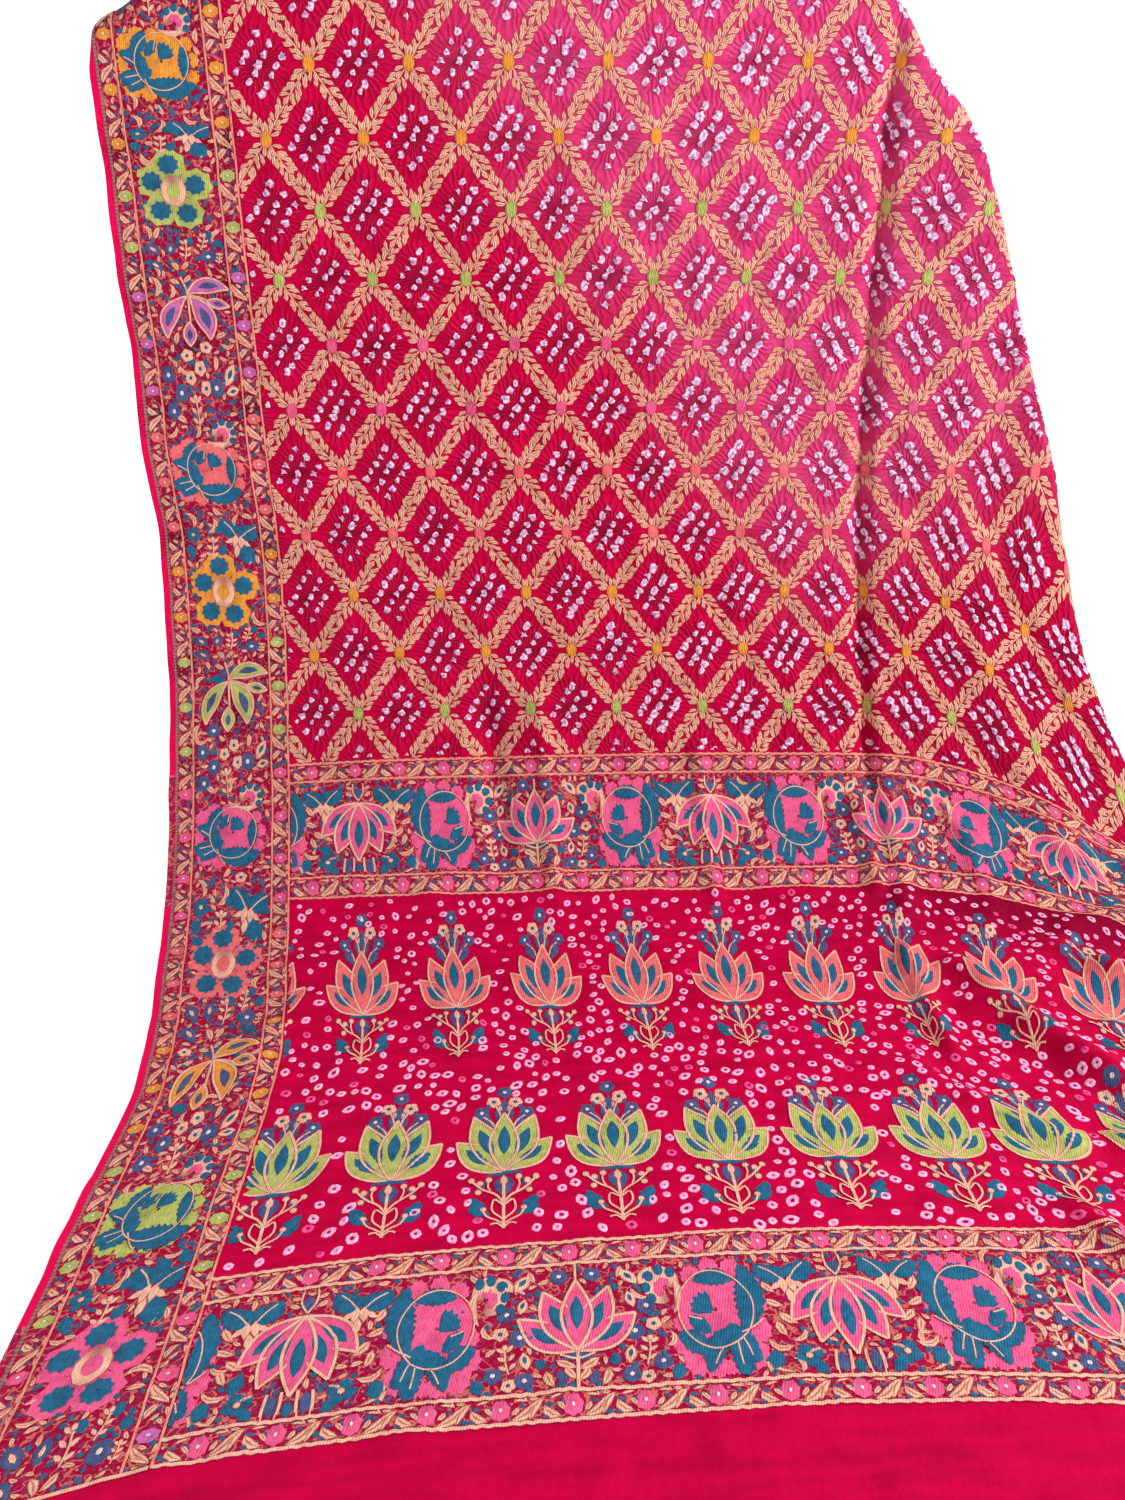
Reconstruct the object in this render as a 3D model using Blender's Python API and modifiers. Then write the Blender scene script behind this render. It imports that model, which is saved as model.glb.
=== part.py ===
"""A bandhani saree end, hung over a high edge and spread forward on the floor.

The cloth is one woven length, so it is one solid. It hangs from its top edge, leans
forward, turns onto the floor and lies there, and its right-hand part is folded back
behind it along a slanting line. Metres, +Z up. The viewer stands at -Y, and the origin
is on top of the crest from which the cloth hangs, in the middle of its front.

Two coordinates name a point of the flat cloth: "across" from the left selvedge, and
"down" from the level at which the picture begins, just under the crest.
"""

import math

import bmesh
import bpy
import numpy as np

# ---- the flat cloth -------------------------------------------------------------------
WIDTH = 1.14  # selvedge to selvedge
HALF = WIDTH / 2  # the fold-in-half crease runs here
LENGTH = 1.30  # from the picture's top to the plain end
THICKNESS = 0.0015

# ---- the crest it hangs over --------------------------------------------------------------
CREST_RADIUS = 0.012
CREST_DROP = 0.008  # from the crest's front tangent down to "down" = 0
LIP = 0.030  # the cut length that hangs behind the crest
CREST_ARC = math.pi * CREST_RADIUS
TOP = -(CREST_DROP + CREST_ARC + LIP)  # "down" at the cut edge behind the crest

# ---- how it hangs, seen from the side -------------------------------------------------
HANG = (
    # down, angle from straight down towards the viewer (degrees)
    (0.210, 0),
    (0.440, 20),
    (0.574, 32),
    (0.672, 62),
    (0.742, 90),
    (LENGTH + 0.200, 90),
)
STEP = 0.001  # of the side profile
BLEND = 15  # steps over which a change of bend is eased

# ---- how it hangs, seen from the front ------------------------------------------------
LEFT_SELVEDGE = (
    # down, x
    (TOP, -0.300),
    (0.120, -0.300),
    (0.300, -0.298),
    (0.400, -0.290),
    (0.620, -0.284),
    (0.742, -0.269),
    (0.810, -0.256),
    (0.868, -0.250),
    (0.952, -0.256),
    (1.134, -0.268),
    (LENGTH, -0.276),
)
CENTRE_CREASE = (
    # down, x
    (TOP, 0.274),
    (0.300, 0.277),
    (0.530, 0.286),
    (0.680, 0.294),
    (0.800, 0.292),
    (0.870, 0.297),
    (0.960, 0.311),
    (1.134, 0.333),
    (LENGTH, 0.340),
)
CREST_DIP = (
    # across, how much lower the crest is there
    (0.000, 0.052),
    (0.004, 0.034),
    (0.028, 0.020),
    (0.060, 0.000),
    (HALF - 0.020, 0.000),
    (HALF + 0.004, 0.018),
    (HALF + 0.026, 0.054),
    (HALF + 0.050, 0.082),
    (HALF + 0.074, 0.102),
    (WIDTH, 0.108),
)
DIP_FADE = (0.125, 0.200)  # down, over which the dip stops being felt
ROW_SHAPE = (
    # across, how far the lowest rows fall there
    (0.000, 0.034),
    (0.105, 0.000),
    (0.240, -0.021),
    (0.480, -0.037),
    (0.660, -0.033),
    (WIDTH, -0.030),
)
ROW_WEIGHT = (
    # down, share of that fall in the rows there
    (0.400, 0.08),
    (0.560, 0.25),
    (0.672, 0.25),
    (0.784, 0.50),
    (0.960, 0.85),
    (1.050, 1.00),
)
ROW_SAG = (
    # down, how far a row falls for each square metre right of the crease
    (0.330, 0.00),
    (0.430, 1.50),
    (0.500, 1.40),
    (0.562, 1.85),
    (0.670, 1.35),
    (0.780, 1.10),
    (0.950, 0.45),
    (LENGTH, 0.30),
)
CREASE_TAKES = 0.0056  # width that the crease valley swallows
CREASE_REACH = 0.016  # half the width over which it does so

# ---- the right-hand part, folded back behind ------------------------------------------
FOLD_START = 0.028  # right of the crease, at "down" = 0
FOLD_SLOPE = 0.38  # across for each metre down
FOLD_ANGLE = math.atan(FOLD_SLOPE)
FOLD_RADIUS = (
    # down, inner radius of the fold's round edge
    (0.060, 0.0022),
    (0.200, 0.0050),
    (0.350, 0.0085),
    (0.560, 0.0085),
    (0.700, 0.0040),
    (0.780, 0.0030),
)
FOLD_BOW = (
    # down, how far the folded edge stands right of its line
    (0.060, 0.004),
    (0.140, 0.006),
    (0.250, 0.000),
    (0.360, -0.006),
    (0.480, -0.008),
    (0.560, 0.000),
)
LAID = (0.570, 0.725)  # down, from where the front starts to ride over the flap, to fully
FLAP_STEP = 0.030  # width of the ramp by which the front climbs onto the flap

# ---- soft folds -------------------------------------------------------------------------
FOLDS = (
    # across, down at one end; across, down at the other; half width; height forward
    (HALF, -0.060, HALF, 0.690, 0.0110, -0.0065),
    (0.258, 0.500, 0.268, 0.690, 0.0200, -0.0055),
    (0.445, 0.560, 0.470, 0.700, 0.0260, -0.0035),
    (0.150, 0.330, 0.180, 0.640, 0.0450, 0.0035),
    (0.660, 0.120, 0.700, 0.420, 0.0200, -0.0045),
    (0.655, 0.420, 0.735, 0.640, 0.0240, 0.0060),
    (0.622, 0.600, 0.655, 0.715, 0.0120, -0.0060),
    (0.600, 0.745, 0.720, 0.900, 0.0200, 0.0075),
    (0.680, 0.720, 0.860, 0.880, 0.0220, 0.0090),
    (0.640, 0.960, 0.830, 1.060, 0.0260, 0.0060),
    (0.560, 0.800, 0.575, 0.900, 0.0140, 0.0035),
    (0.300, 0.760, 0.200, 0.860, 0.0300, 0.0030),
    (0.120, 0.780, 0.060, 0.900, 0.0240, 0.0050),
    (0.760, 1.060, 0.800, 1.200, 0.0220, 0.0055),
    (0.060, 1.180, 0.280, 1.250, 0.0260, 0.0040),
)
FOLD_FADE = 0.22  # share of a fold's length over which each end fades
EDGE_WAVE = 0.0028  # height of the waves along the left selvedge
EDGE_WAVE_LENGTH = 0.135
EDGE_WAVE_REACH = 0.040

# ---- how finely the solid is cut ------------------------------------------------------------
CREST_REACH = 0.050  # down, where the columns are when the crest's dip is read
CREST_ROWS = (2, 7, 6)  # behind the crest, over it, and from it to the plain hang
HANG_START = 0.170
ROWS = (
    # down at the end of a stretch, its number of rows
    (0.440, 8),
    (0.780, 19),
    (LENGTH, 17),
)
LEFT_COLUMNS = (0.0, 0.012, 0.030, 0.060)
BODY_COLUMNS = 14  # evenly from there to the crease's reach
CREASE_COLUMNS = (-0.024, -0.015, -0.008, 0.0, 0.008, 0.015, 0.024)
RIGHT_COLUMNS = 11  # from the crease's reach to the fold
BEND_COLUMNS = 6
FLAP_COLUMNS = 12

CRIMSON = (0.53, 0.004, 0.045, 1.0)
SHEEN = 0.35
ROUGHNESS = 0.62


def smoothstep(low, high, value):
    """0 below low, 1 above high, with an eased rise between them."""
    t = np.clip((value - low) / (high - low), 0.0, 1.0)
    return t * t * (3 - 2 * t)


def curve(rows, value):
    """Read a two-column table as a smooth curve that never overshoots its rows."""
    at, height = (np.array(column, float) for column in zip(*rows))
    gap = np.diff(at)
    rise = np.diff(height) / gap
    slope = np.zeros(len(at))
    slope[0], slope[-1] = rise[0], rise[-1]
    inner = rise[:-1] * rise[1:] > 0
    near, far = 2 * gap[1:] + gap[:-1], gap[1:] + 2 * gap[:-1]
    safe = np.where(inner, near / np.where(inner, rise[:-1], 1) + far / np.where(inner, rise[1:], 1), 1)
    slope[1:-1] = np.where(inner, (near + far) / safe, 0)
    value = np.clip(np.asarray(value, float), at[0], at[-1])
    k = np.clip(np.searchsorted(at, value, side="right") - 1, 0, len(at) - 2)
    t = (value - at[k]) / gap[k]
    return (
        (1 + 2 * t) * (1 - t) ** 2 * height[k]
        + t * (1 - t) ** 2 * gap[k] * slope[k]
        + t * t * (3 - 2 * t) * height[k + 1]
        + t * t * (t - 1) * gap[k] * slope[k + 1]
    )


class SideProfile:
    """The hang seen from the side: how far forward, how high and at what angle."""

    def __init__(self):
        turns = ((TOP, 180), (TOP + LIP, 180), (-CREST_DROP, 0)) + HANG
        self.down = np.arange(TOP - 0.12, HANG[-1][0], STEP)
        angle = np.radians(np.interp(self.down, *zip(*turns)))
        ends = np.pad(angle, BLEND // 2, mode="edge")
        self.angle = np.convolve(ends, np.ones(BLEND) / BLEND, "valid")
        self.forward = self.run(np.sin(self.angle))
        self.height = self.run(-np.cos(self.angle))
        crest = int(np.argmax(self.height))
        self.forward -= self.forward[crest]
        self.height -= self.height[crest]

    @staticmethod
    def run(slope):
        """Add up a slope along the profile."""
        return np.concatenate([[0.0], np.cumsum((slope[1:] + slope[:-1]) / 2 * STEP)])

    def at(self, down):
        """Forward reach, height and angle at a distance down the cloth."""
        return (
            np.interp(down, self.down, self.forward),
            np.interp(down, self.down, self.height),
            np.interp(down, self.down, self.angle),
        )


PROFILE = SideProfile()
FLOOR = float(PROFILE.height[-1])  # height of the cloth's middle where it lies flat


def fold_line(down):
    """Across, where the right-hand part folds back."""
    return HALF + FOLD_START + FOLD_SLOPE * down


def fold_back(across, down):
    """Fold the flat cloth along its slanting line.

    Gives where each point comes to lie in the plane of the front, and how far round
    the fold it is: 0 on the front, 1 on the flap.
    """
    side = (across - fold_line(down)) * math.cos(FOLD_ANGLE)
    foot_across = across - side * math.cos(FOLD_ANGLE)
    foot_down = down + side * math.sin(FOLD_ANGLE)
    radius = curve(FOLD_RADIUS, foot_down)
    turn = np.clip(side / radius, 0, math.pi)
    along = np.where(side < 0, side, radius * np.sin(turn) - np.maximum(side - math.pi * radius, 0))
    round_fold = (1 - np.cos(turn)) / 2
    return (
        foot_across + along * math.cos(FOLD_ANGLE),
        foot_down - along * math.sin(FOLD_ANGLE),
        round_fold,
    )


def over_flap(across, down):
    """1 where the folded-back flap lies behind a point of the front, else 0."""
    side = (fold_line(down) - across) * math.cos(FOLD_ANGLE)
    mirrored = across + (2 * side + math.pi * FOLD_RADIUS[-1][1]) * math.cos(FOLD_ANGLE)
    return smoothstep(-FLAP_STEP, -0.002, WIDTH - mirrored)


def soft_folds(across, down):
    """Height forward of the creases, troughs and ridges at a point of the front."""
    height = np.zeros_like(across)
    for across_0, down_0, across_1, down_1, half_width, rise in FOLDS:
        run = np.array((across_1 - across_0, down_1 - down_0))
        length = np.hypot(*run)
        run /= length
        from_0 = (across - across_0, down - down_0)
        share = (from_0[0] * run[0] + from_0[1] * run[1]) / length
        aside = (from_0[0] * run[1] - from_0[1] * run[0]) / half_width
        ends = smoothstep(0, FOLD_FADE, share) * smoothstep(0, FOLD_FADE, 1 - share)
        height += rise * ends * np.exp(-aside * aside)
    wave = np.sin(2 * math.pi * down / EDGE_WAVE_LENGTH) * np.exp(-across / EDGE_WAVE_REACH)
    return height + EDGE_WAVE * wave * smoothstep(0.02, 0.12, down)


def drape(across, down):
    """Where points of the flat cloth are once it hangs, as rows of x, y, z."""
    a, d, round_fold = fold_back(across, down)
    right = np.maximum(a - HALF, 0)
    left_x, crease_x = curve(LEFT_SELVEDGE, d), curve(CENTRE_CREASE, d)
    x = left_x + a * (crease_x - left_x) / HALF
    x = x - CREASE_TAKES * smoothstep(HALF - CREASE_REACH, HALF + CREASE_REACH, a)
    x = x + curve(FOLD_BOW, d) * smoothstep(0, 1, right / np.maximum(fold_line(d) - HALF, 0.03))
    fall = curve(ROW_SHAPE, a) * curve(ROW_WEIGHT, d) + curve(ROW_SAG, d) * right * right
    dip = curve(CREST_DIP, a) * (1 - smoothstep(*DIP_FADE, d))
    forward, height, angle = PROFILE.at(d + fall - dip)
    laid = smoothstep(*LAID, d + fall)
    folds = soft_folds(a, d)
    trough = np.minimum(folds, 0) * (1 - laid)
    front = np.maximum(folds, 0) + trough + laid * over_flap(a, d) * 2 * FOLD_RADIUS[-1][1]
    flap = trough - (1 - laid) * 2 * curve(FOLD_RADIUS, d)
    off = front + (flap - front) * round_fold
    lift = off * np.sin(angle)
    z = np.maximum(height - dip + lift, FLOOR + np.maximum(front, 0) * laid * (1 - round_fold))
    return np.stack([x, -forward - off * np.cos(angle), z], axis=-1)


def row_places(dip):
    """Distances down of the rows in a column over which the crest dips by that much."""
    crest = -CREST_DROP + dip
    ends = (crest - CREST_ARC, crest, HANG_START) + tuple(end for end, _ in ROWS)
    counts = CREST_ROWS + tuple(count for _, count in ROWS)
    places, start = [TOP], TOP
    for end, count in zip(ends, counts):
        places.extend(start + (end - start) * (i + 1) / count for i in range(count))
        start = end
    return places


def column_places(down):
    """Distances across of the columns at a distance down: they follow crease and fold."""
    room = fold_line(down) - HALF
    squeeze = min(1.0, 0.5 * room / CREASE_COLUMNS[-1])
    crease = [HALF + c * (squeeze if c > 0 else 1.0) for c in CREASE_COLUMNS]
    body = np.linspace(LEFT_COLUMNS[-1], crease[0], BODY_COLUMNS + 1)[1:-1]
    right = np.linspace(crease[-1], fold_line(down), RIGHT_COLUMNS + 1)[1:]
    round_length = math.pi * float(curve(FOLD_RADIUS, down)) / math.cos(FOLD_ANGLE)
    bend = fold_line(down) + round_length * np.arange(1, BEND_COLUMNS + 1) / BEND_COLUMNS
    flap = np.linspace(bend[-1], WIDTH, FLAP_COLUMNS + 1)[1:]
    return np.array([*LEFT_COLUMNS, *body, *crease, *right, *bend, *flap])


def flat_grid():
    """The flat cloth's grid: rows follow the crest, columns follow crease and fold."""
    near_crest = column_places(CREST_REACH)
    dips = curve(CREST_DIP, np.minimum(near_crest, fold_line(CREST_REACH)))
    down = np.array([row_places(dip) for dip in dips]).T
    across = np.empty_like(down)
    for row, column in np.ndindex(down.shape):
        across[row, column] = column_places(down[row, column])[column]
    return across, down


def cloth_mesh(name):
    """Drape a grid of the flat cloth into an open sheet of quads."""
    points = drape(*flat_grid())
    grid = bmesh.new()
    verts = [[grid.verts.new(point) for point in row] for row in points]
    for upper, lower in zip(verts, verts[1:]):
        for i in range(len(upper) - 1):
            grid.faces.new((upper[i], lower[i], lower[i + 1], upper[i + 1]))
    mesh = bpy.data.meshes.new(name)
    grid.to_mesh(mesh)
    grid.free()
    return mesh


def dyed_silk():
    """Crimson dyed silk, matt with a soft sheen."""
    material = bpy.data.materials.new("dyed_silk")
    material.use_nodes = True
    shader = material.node_tree.nodes["Principled BSDF"]
    shader.inputs["Base Color"].default_value = CRIMSON
    shader.inputs["Roughness"].default_value = ROUGHNESS
    shader.inputs["Metallic"].default_value = 0.0
    shader.inputs["Sheen Weight"].default_value = SHEEN
    return material


def saree_cloth(collection):
    """The whole cloth: woven borders, dyed field and plain end are one length."""
    mesh = cloth_mesh("saree_cloth")
    cloth = bpy.data.objects.new("saree_cloth", mesh)
    collection.objects.link(cloth)
    mesh.materials.append(dyed_silk())
    solid = cloth.modifiers.new("thickness", "SOLIDIFY")
    solid.thickness = THICKNESS
    solid.offset = 0.0
    mesh.shade_smooth()
    return cloth


def main():
    """Clear the scene and build the cloth in its own collection."""
    for old in list(bpy.data.objects):
        bpy.data.objects.remove(old, do_unlink=True)
    collection = bpy.data.collections.new("bandhani_cloth")
    bpy.context.scene.collection.children.link(collection)
    saree_cloth(collection)


main()
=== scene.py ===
"""Visual model of a bandhani saree end: the draped silk and all that is woven and tied into it.

The silk is one open sheet in the drape of the CAD solid. Everything woven into it is thread
work: leaves, petals, cords and dots, drawn on the flat cloth and carried by the same drape a
little proud of it. Two coordinates name a point of the flat cloth: "across" from the left
selvedge, and "down" from just under the crest. Lengths are in metres; drawings are in mm.
"""

from __future__ import annotations

import logging
import math
from dataclasses import dataclass, field
from enum import Enum
from functools import partialmethod
from itertools import cycle, product
from typing import Iterable, Sequence

import bpy
import numpy as np
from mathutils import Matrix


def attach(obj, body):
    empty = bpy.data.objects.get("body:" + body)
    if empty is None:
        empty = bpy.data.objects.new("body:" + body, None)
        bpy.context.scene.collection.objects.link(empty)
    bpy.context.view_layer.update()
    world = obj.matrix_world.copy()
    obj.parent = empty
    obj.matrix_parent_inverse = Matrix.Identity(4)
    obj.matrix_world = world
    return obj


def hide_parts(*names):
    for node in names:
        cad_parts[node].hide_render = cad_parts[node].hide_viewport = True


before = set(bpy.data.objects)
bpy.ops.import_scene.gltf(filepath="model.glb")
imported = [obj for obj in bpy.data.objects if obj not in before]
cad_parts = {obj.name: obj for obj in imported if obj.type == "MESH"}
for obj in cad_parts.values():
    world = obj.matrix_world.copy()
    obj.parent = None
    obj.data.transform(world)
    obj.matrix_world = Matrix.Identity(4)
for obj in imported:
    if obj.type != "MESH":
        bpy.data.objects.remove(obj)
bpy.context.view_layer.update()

LOG = logging.getLogger("bandhani_cloth")
Array = np.ndarray
Chance = np.random.Generator
Piece = bpy.types.Object
Socket = bpy.types.NodeSocket
Colour = tuple[float, float, float, float]
Point = tuple[float, float]
Table = tuple[tuple[float, ...], ...]

MM = 0.001
PITCH = 0.07  # of the lattice, across; it also paces the borders
VINE_UNIT = 35.6  # mm, one flower and its leaves in a narrow vine
SIDE_LINES = (0.0195, 0.083, 0.0965)  # across, the coral lines of a side border
INNER_LINE = SIDE_LINES[2] / MM
FIELD_END = 8.07 * PITCH  # down, where the dotted field meets the upper border
UPPER_BORDER = (8.1 * PITCH, 8.31 * PITCH, 9.47 * PITCH, 9.73 * PITCH)
LOWER_BORDER = (14.95 * PITCH, 15.18 * PITCH, 16.38 * PITCH, 16.61 * PITCH)


def smoothstep(low: float, high: float, value: Array) -> Array:
    """Rise from 0 at low to 1 at high, with eased ends."""
    t = np.clip((value - low) / (high - low), 0.0, 1.0)
    return t * t * (3 - 2 * t)


def curve(rows: Table, value: Array) -> Array:
    """Read a two-column table as a smooth curve that never overshoots its rows.

    Args:
        rows: Pairs of place and height.
        value: Places to read.

    Returns:
        The heights at those places.
    """
    at, height = (np.array(column, float) for column in zip(*rows))
    gap = np.diff(at)
    rise = np.diff(height) / gap
    slope = np.zeros(len(at))
    slope[0], slope[-1] = rise[0], rise[-1]
    inner = rise[:-1] * rise[1:] > 0
    near, far = 2 * gap[1:] + gap[:-1], gap[1:] + 2 * gap[:-1]
    above, below = np.where(inner, rise[:-1], 1), np.where(inner, rise[1:], 1)
    slope[1:-1] = np.where(inner, (near + far) / np.where(inner, near / above + far / below, 1), 0)
    value = np.clip(np.asarray(value, float), at[0], at[-1])
    k = np.clip(np.searchsorted(at, value, side="right") - 1, 0, len(at) - 2)
    t = (value - at[k]) / gap[k]
    return (
        (1 + 2 * t) * (1 - t) ** 2 * height[k]
        + t * (1 - t) ** 2 * gap[k] * slope[k]
        + t * t * (3 - 2 * t) * height[k + 1]
        + t * t * (t - 1) * gap[k] * slope[k + 1]
    )


# ---- the drape, as in the CAD solid


@dataclass(frozen=True)
class Crest:
    """The round edge that the cloth hangs over."""

    radius: float = 0.012
    drop: float = 0.008
    lip: float = 0.03

    @property
    def arc(self) -> float:
        """Length of cloth that lies over the crest."""
        return math.pi * self.radius

    @property
    def top(self) -> float:
        """Distance down of the cut edge behind the crest."""
        return -(self.drop + self.arc + self.lip)


class SideProfile:
    """The hang seen from the side: how far forward, how high and at what angle."""

    def __init__(self, crest: Crest, hang: Table, step: float = 0.001, blend: int = 15) -> None:
        """Add up the profile from its angles.

        Args:
            crest: The crest at which the profile begins.
            hang: Rows of distance down and angle from straight down, in degrees.
            step: Length of one step along the profile.
            blend: Steps over which a change of bend is eased.
        """
        turns = ((crest.top, 180), (crest.top + crest.lip, 180), (-crest.drop, 0)) + hang
        self.down = np.arange(crest.top - 0.12, hang[-1][0], step)
        angle = np.radians(np.interp(self.down, *zip(*turns)))
        ends = np.pad(angle, blend // 2, mode="edge")
        self.angle = np.convolve(ends, np.ones(blend) / blend, "valid")
        self.forward = self._run(np.sin(self.angle), step)
        self.height = self._run(-np.cos(self.angle), step)
        highest = int(np.argmax(self.height))
        self.forward -= self.forward[highest]
        self.height -= self.height[highest]

    @staticmethod
    def _run(slope: Array, step: float) -> Array:
        """Add up a slope along the profile."""
        return np.concatenate([[0.0], np.cumsum((slope[1:] + slope[:-1]) / 2 * step)])

    def at(self, down: Array) -> tuple[Array, Array, Array]:
        """Give forward reach, height and angle at distances down the cloth."""
        return (np.interp(down, self.down, self.forward), np.interp(down, self.down, self.height),
            np.interp(down, self.down, self.angle))


@dataclass
class Drape:
    """How the flat cloth hangs, spreads and folds back: the same tables as the solid's."""

    width: float = 1.14
    length: float = 1.3
    crest: Crest = Crest()
    hang: Table = ((0.21, 0), (0.44, 20), (0.574, 32), (0.672, 62), (0.742, 90), (1.5, 90))
    left_selvedge: Table = ((-0.0757, -0.3), (0.12, -0.3), (0.3, -0.298), (0.4, -0.29), (0.62, -0.284),
        (0.742, -0.269), (0.81, -0.256), (0.868, -0.25), (0.952, -0.256), (1.134, -0.268), (1.3, -0.276))
    centre_crease: Table = ((-0.0757, 0.274), (0.3, 0.277), (0.53, 0.286), (0.68, 0.294), (0.8, 0.292),
        (0.87, 0.297), (0.96, 0.311), (1.134, 0.333), (1.3, 0.34))
    crest_dip: Table = ((0.0, 0.052), (0.004, 0.034), (0.028, 0.02), (0.06, 0.0), (0.55, 0.0),
        (0.574, 0.018), (0.596, 0.054), (0.62, 0.082), (0.644, 0.102), (1.14, 0.108))
    dip_fade: Point = (0.125, 0.2)
    row_shape: Table = ((0.0, 0.034), (0.105, 0.0), (0.24, -0.021), (0.48, -0.037), (0.66, -0.033),
        (1.14, -0.03))
    row_weight: Table = ((0.4, 0.08), (0.56, 0.25), (0.672, 0.25), (0.784, 0.5), (0.96, 0.85), (1.05, 1.0))
    row_sag: Table = ((0.33, 0.0), (0.43, 1.5), (0.5, 1.4), (0.562, 1.85), (0.67, 1.35), (0.78, 1.1),
        (0.95, 0.45), (1.3, 0.3))
    crease_takes: float = 0.0056
    crease_reach: float = 0.016
    fold_start: float = 0.028
    fold_slope: float = 0.38
    fold_radius: Table = ((0.06, 0.0022), (0.2, 0.005), (0.35, 0.0085), (0.56, 0.0085), (0.7, 0.004),
        (0.78, 0.003))
    fold_bow: Table = ((0.06, 0.004), (0.14, 0.006), (0.25, 0.0), (0.36, -0.006), (0.48, -0.008), (0.56, 0.0))
    laid: Point = (0.57, 0.725)
    flap_step: float = 0.03
    # across, down at one end; across, down at the other; half width; height forward
    folds: Table = ((0.57, -0.06, 0.57, 0.69, 0.009, -0.01), (0.258, 0.5, 0.268, 0.69, 0.012, -0.01),
        (0.445, 0.56, 0.47, 0.7, 0.026, -0.0035), (0.15, 0.33, 0.18, 0.64, 0.045, 0.0035),
        (0.66, 0.12, 0.7, 0.42, 0.02, -0.0045), (0.655, 0.42, 0.735, 0.64, 0.024, 0.006),
        (0.622, 0.6, 0.655, 0.715, 0.012, -0.006), (0.596, 0.75, 0.7, 0.94, 0.015, 0.015),
        (0.68, 0.72, 0.86, 0.88, 0.017, 0.015), (0.63, 0.95, 0.83, 1.05, 0.018, 0.011),
        (0.574, 0.73, 0.586, 0.9, 0.011, 0.0075), (0.556, 0.59, 0.562, 0.7, 0.009, 0.008),
        (0.302, 0.5, 0.308, 0.72, 0.008, 0.006), (0.428, 0.54, 0.434, 0.715, 0.0075, 0.0055),
        (0.592, 0.59, 0.584, 0.73, 0.012, 0.0075), (0.64, 0.6, 0.65, 0.71, 0.012, 0.008),
        (0.59, 1.01, 0.645, 1.13, 0.011, 0.01), (0.7, 1.01, 0.735, 1.17, 0.013, 0.008),
        (0.52, 0.88, 0.64, 0.985, 0.013, 0.006), (0.3, 0.76, 0.2, 0.86, 0.03, 0.003),
        (0.12, 0.78, 0.06, 0.9, 0.024, 0.005), (0.76, 1.06, 0.8, 1.2, 0.022, 0.0055),
        (0.06, 1.18, 0.28, 1.25, 0.026, 0.004))
    fold_fade: float = 0.22
    # height, wave length, direction, shift: the small unevenness of puckered silk, and that of the
    # bunched cloth right of the crease on the floor
    crumple: Table = ((0.0006, 0.031, 0.35, 0.3), (0.0006, 0.037, 2.1, 1.9), (0.0007, 0.052, 1.25, 4.1),
        (0.0007, 0.064, 2.75, 2.6))
    rumple: Table = ((0.0022, 0.043, 0.95, 0.8), (0.0025, 0.058, 0.55, 2.2), (0.0028, 0.09, 1.3, 5.0))
    edge_wave: float = 0.0028
    edge_wave_length: float = 0.135
    edge_wave_reach: float = 0.04
    below: float = 0.0006  # of the underside, under the middle of the cloth
    profile: SideProfile = field(init=False)

    def __post_init__(self) -> None:
        """Add up the side profile."""
        self.profile = SideProfile(self.crest, self.hang)

    @property
    def half(self) -> float:
        """Across, where the crease of the fold in half runs."""
        return self.width / 2

    @property
    def floor(self) -> float:
        """Height of the cloth's middle where it lies flat."""
        return float(self.profile.height[-1])

    @property
    def flat_size(self) -> Point:
        """Width and length that the cloth was cut to."""
        return self.width, self.length - self.crest.top

    def fold_line(self, down: Array) -> Array:
        """Give the distance across at which the right-hand part folds back."""
        return self.half + self.fold_start + self.fold_slope * down

    def _fold_back(self, across: Array, down: Array, lift: Array) -> tuple[Array, ...]:
        """Fold the flat cloth along its slanting line.

        Args:
            across: Distances across the flat cloth.
            down: Distances down the flat cloth.
            lift: Heights above the cloth's right side.

        Returns:
            Across and down in the plane of the front, how far round the fold (0 to 1),
            and the share of the lift that still points forward.
        """
        angle = math.atan(self.fold_slope)
        side = (across - self.fold_line(down)) * math.cos(angle)
        foot_across = across - side * math.cos(angle)
        foot_down = down + side * math.sin(angle)
        radius = curve(self.fold_radius, foot_down)
        turn = np.clip(side / radius, 0, math.pi)
        past = np.maximum(side - math.pi * radius, 0)
        along = np.where(side < 0, side, radius * np.sin(turn) - past) + lift * np.sin(turn)
        return (foot_across + along * math.cos(angle), foot_down - along * math.sin(angle),
            (1 - np.cos(turn)) / 2, np.cos(turn))

    def _over_flap(self, across: Array, down: Array) -> Array:
        """Give 1 where the folded-back flap lies behind a point of the front, else 0."""
        angle = math.atan(self.fold_slope)
        side = (self.fold_line(down) - across) * math.cos(angle)
        reach = 2 * side + math.pi * self.fold_radius[-1][1]
        return smoothstep(-self.flap_step, -0.002, self.width - across - reach * math.cos(angle))

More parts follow.
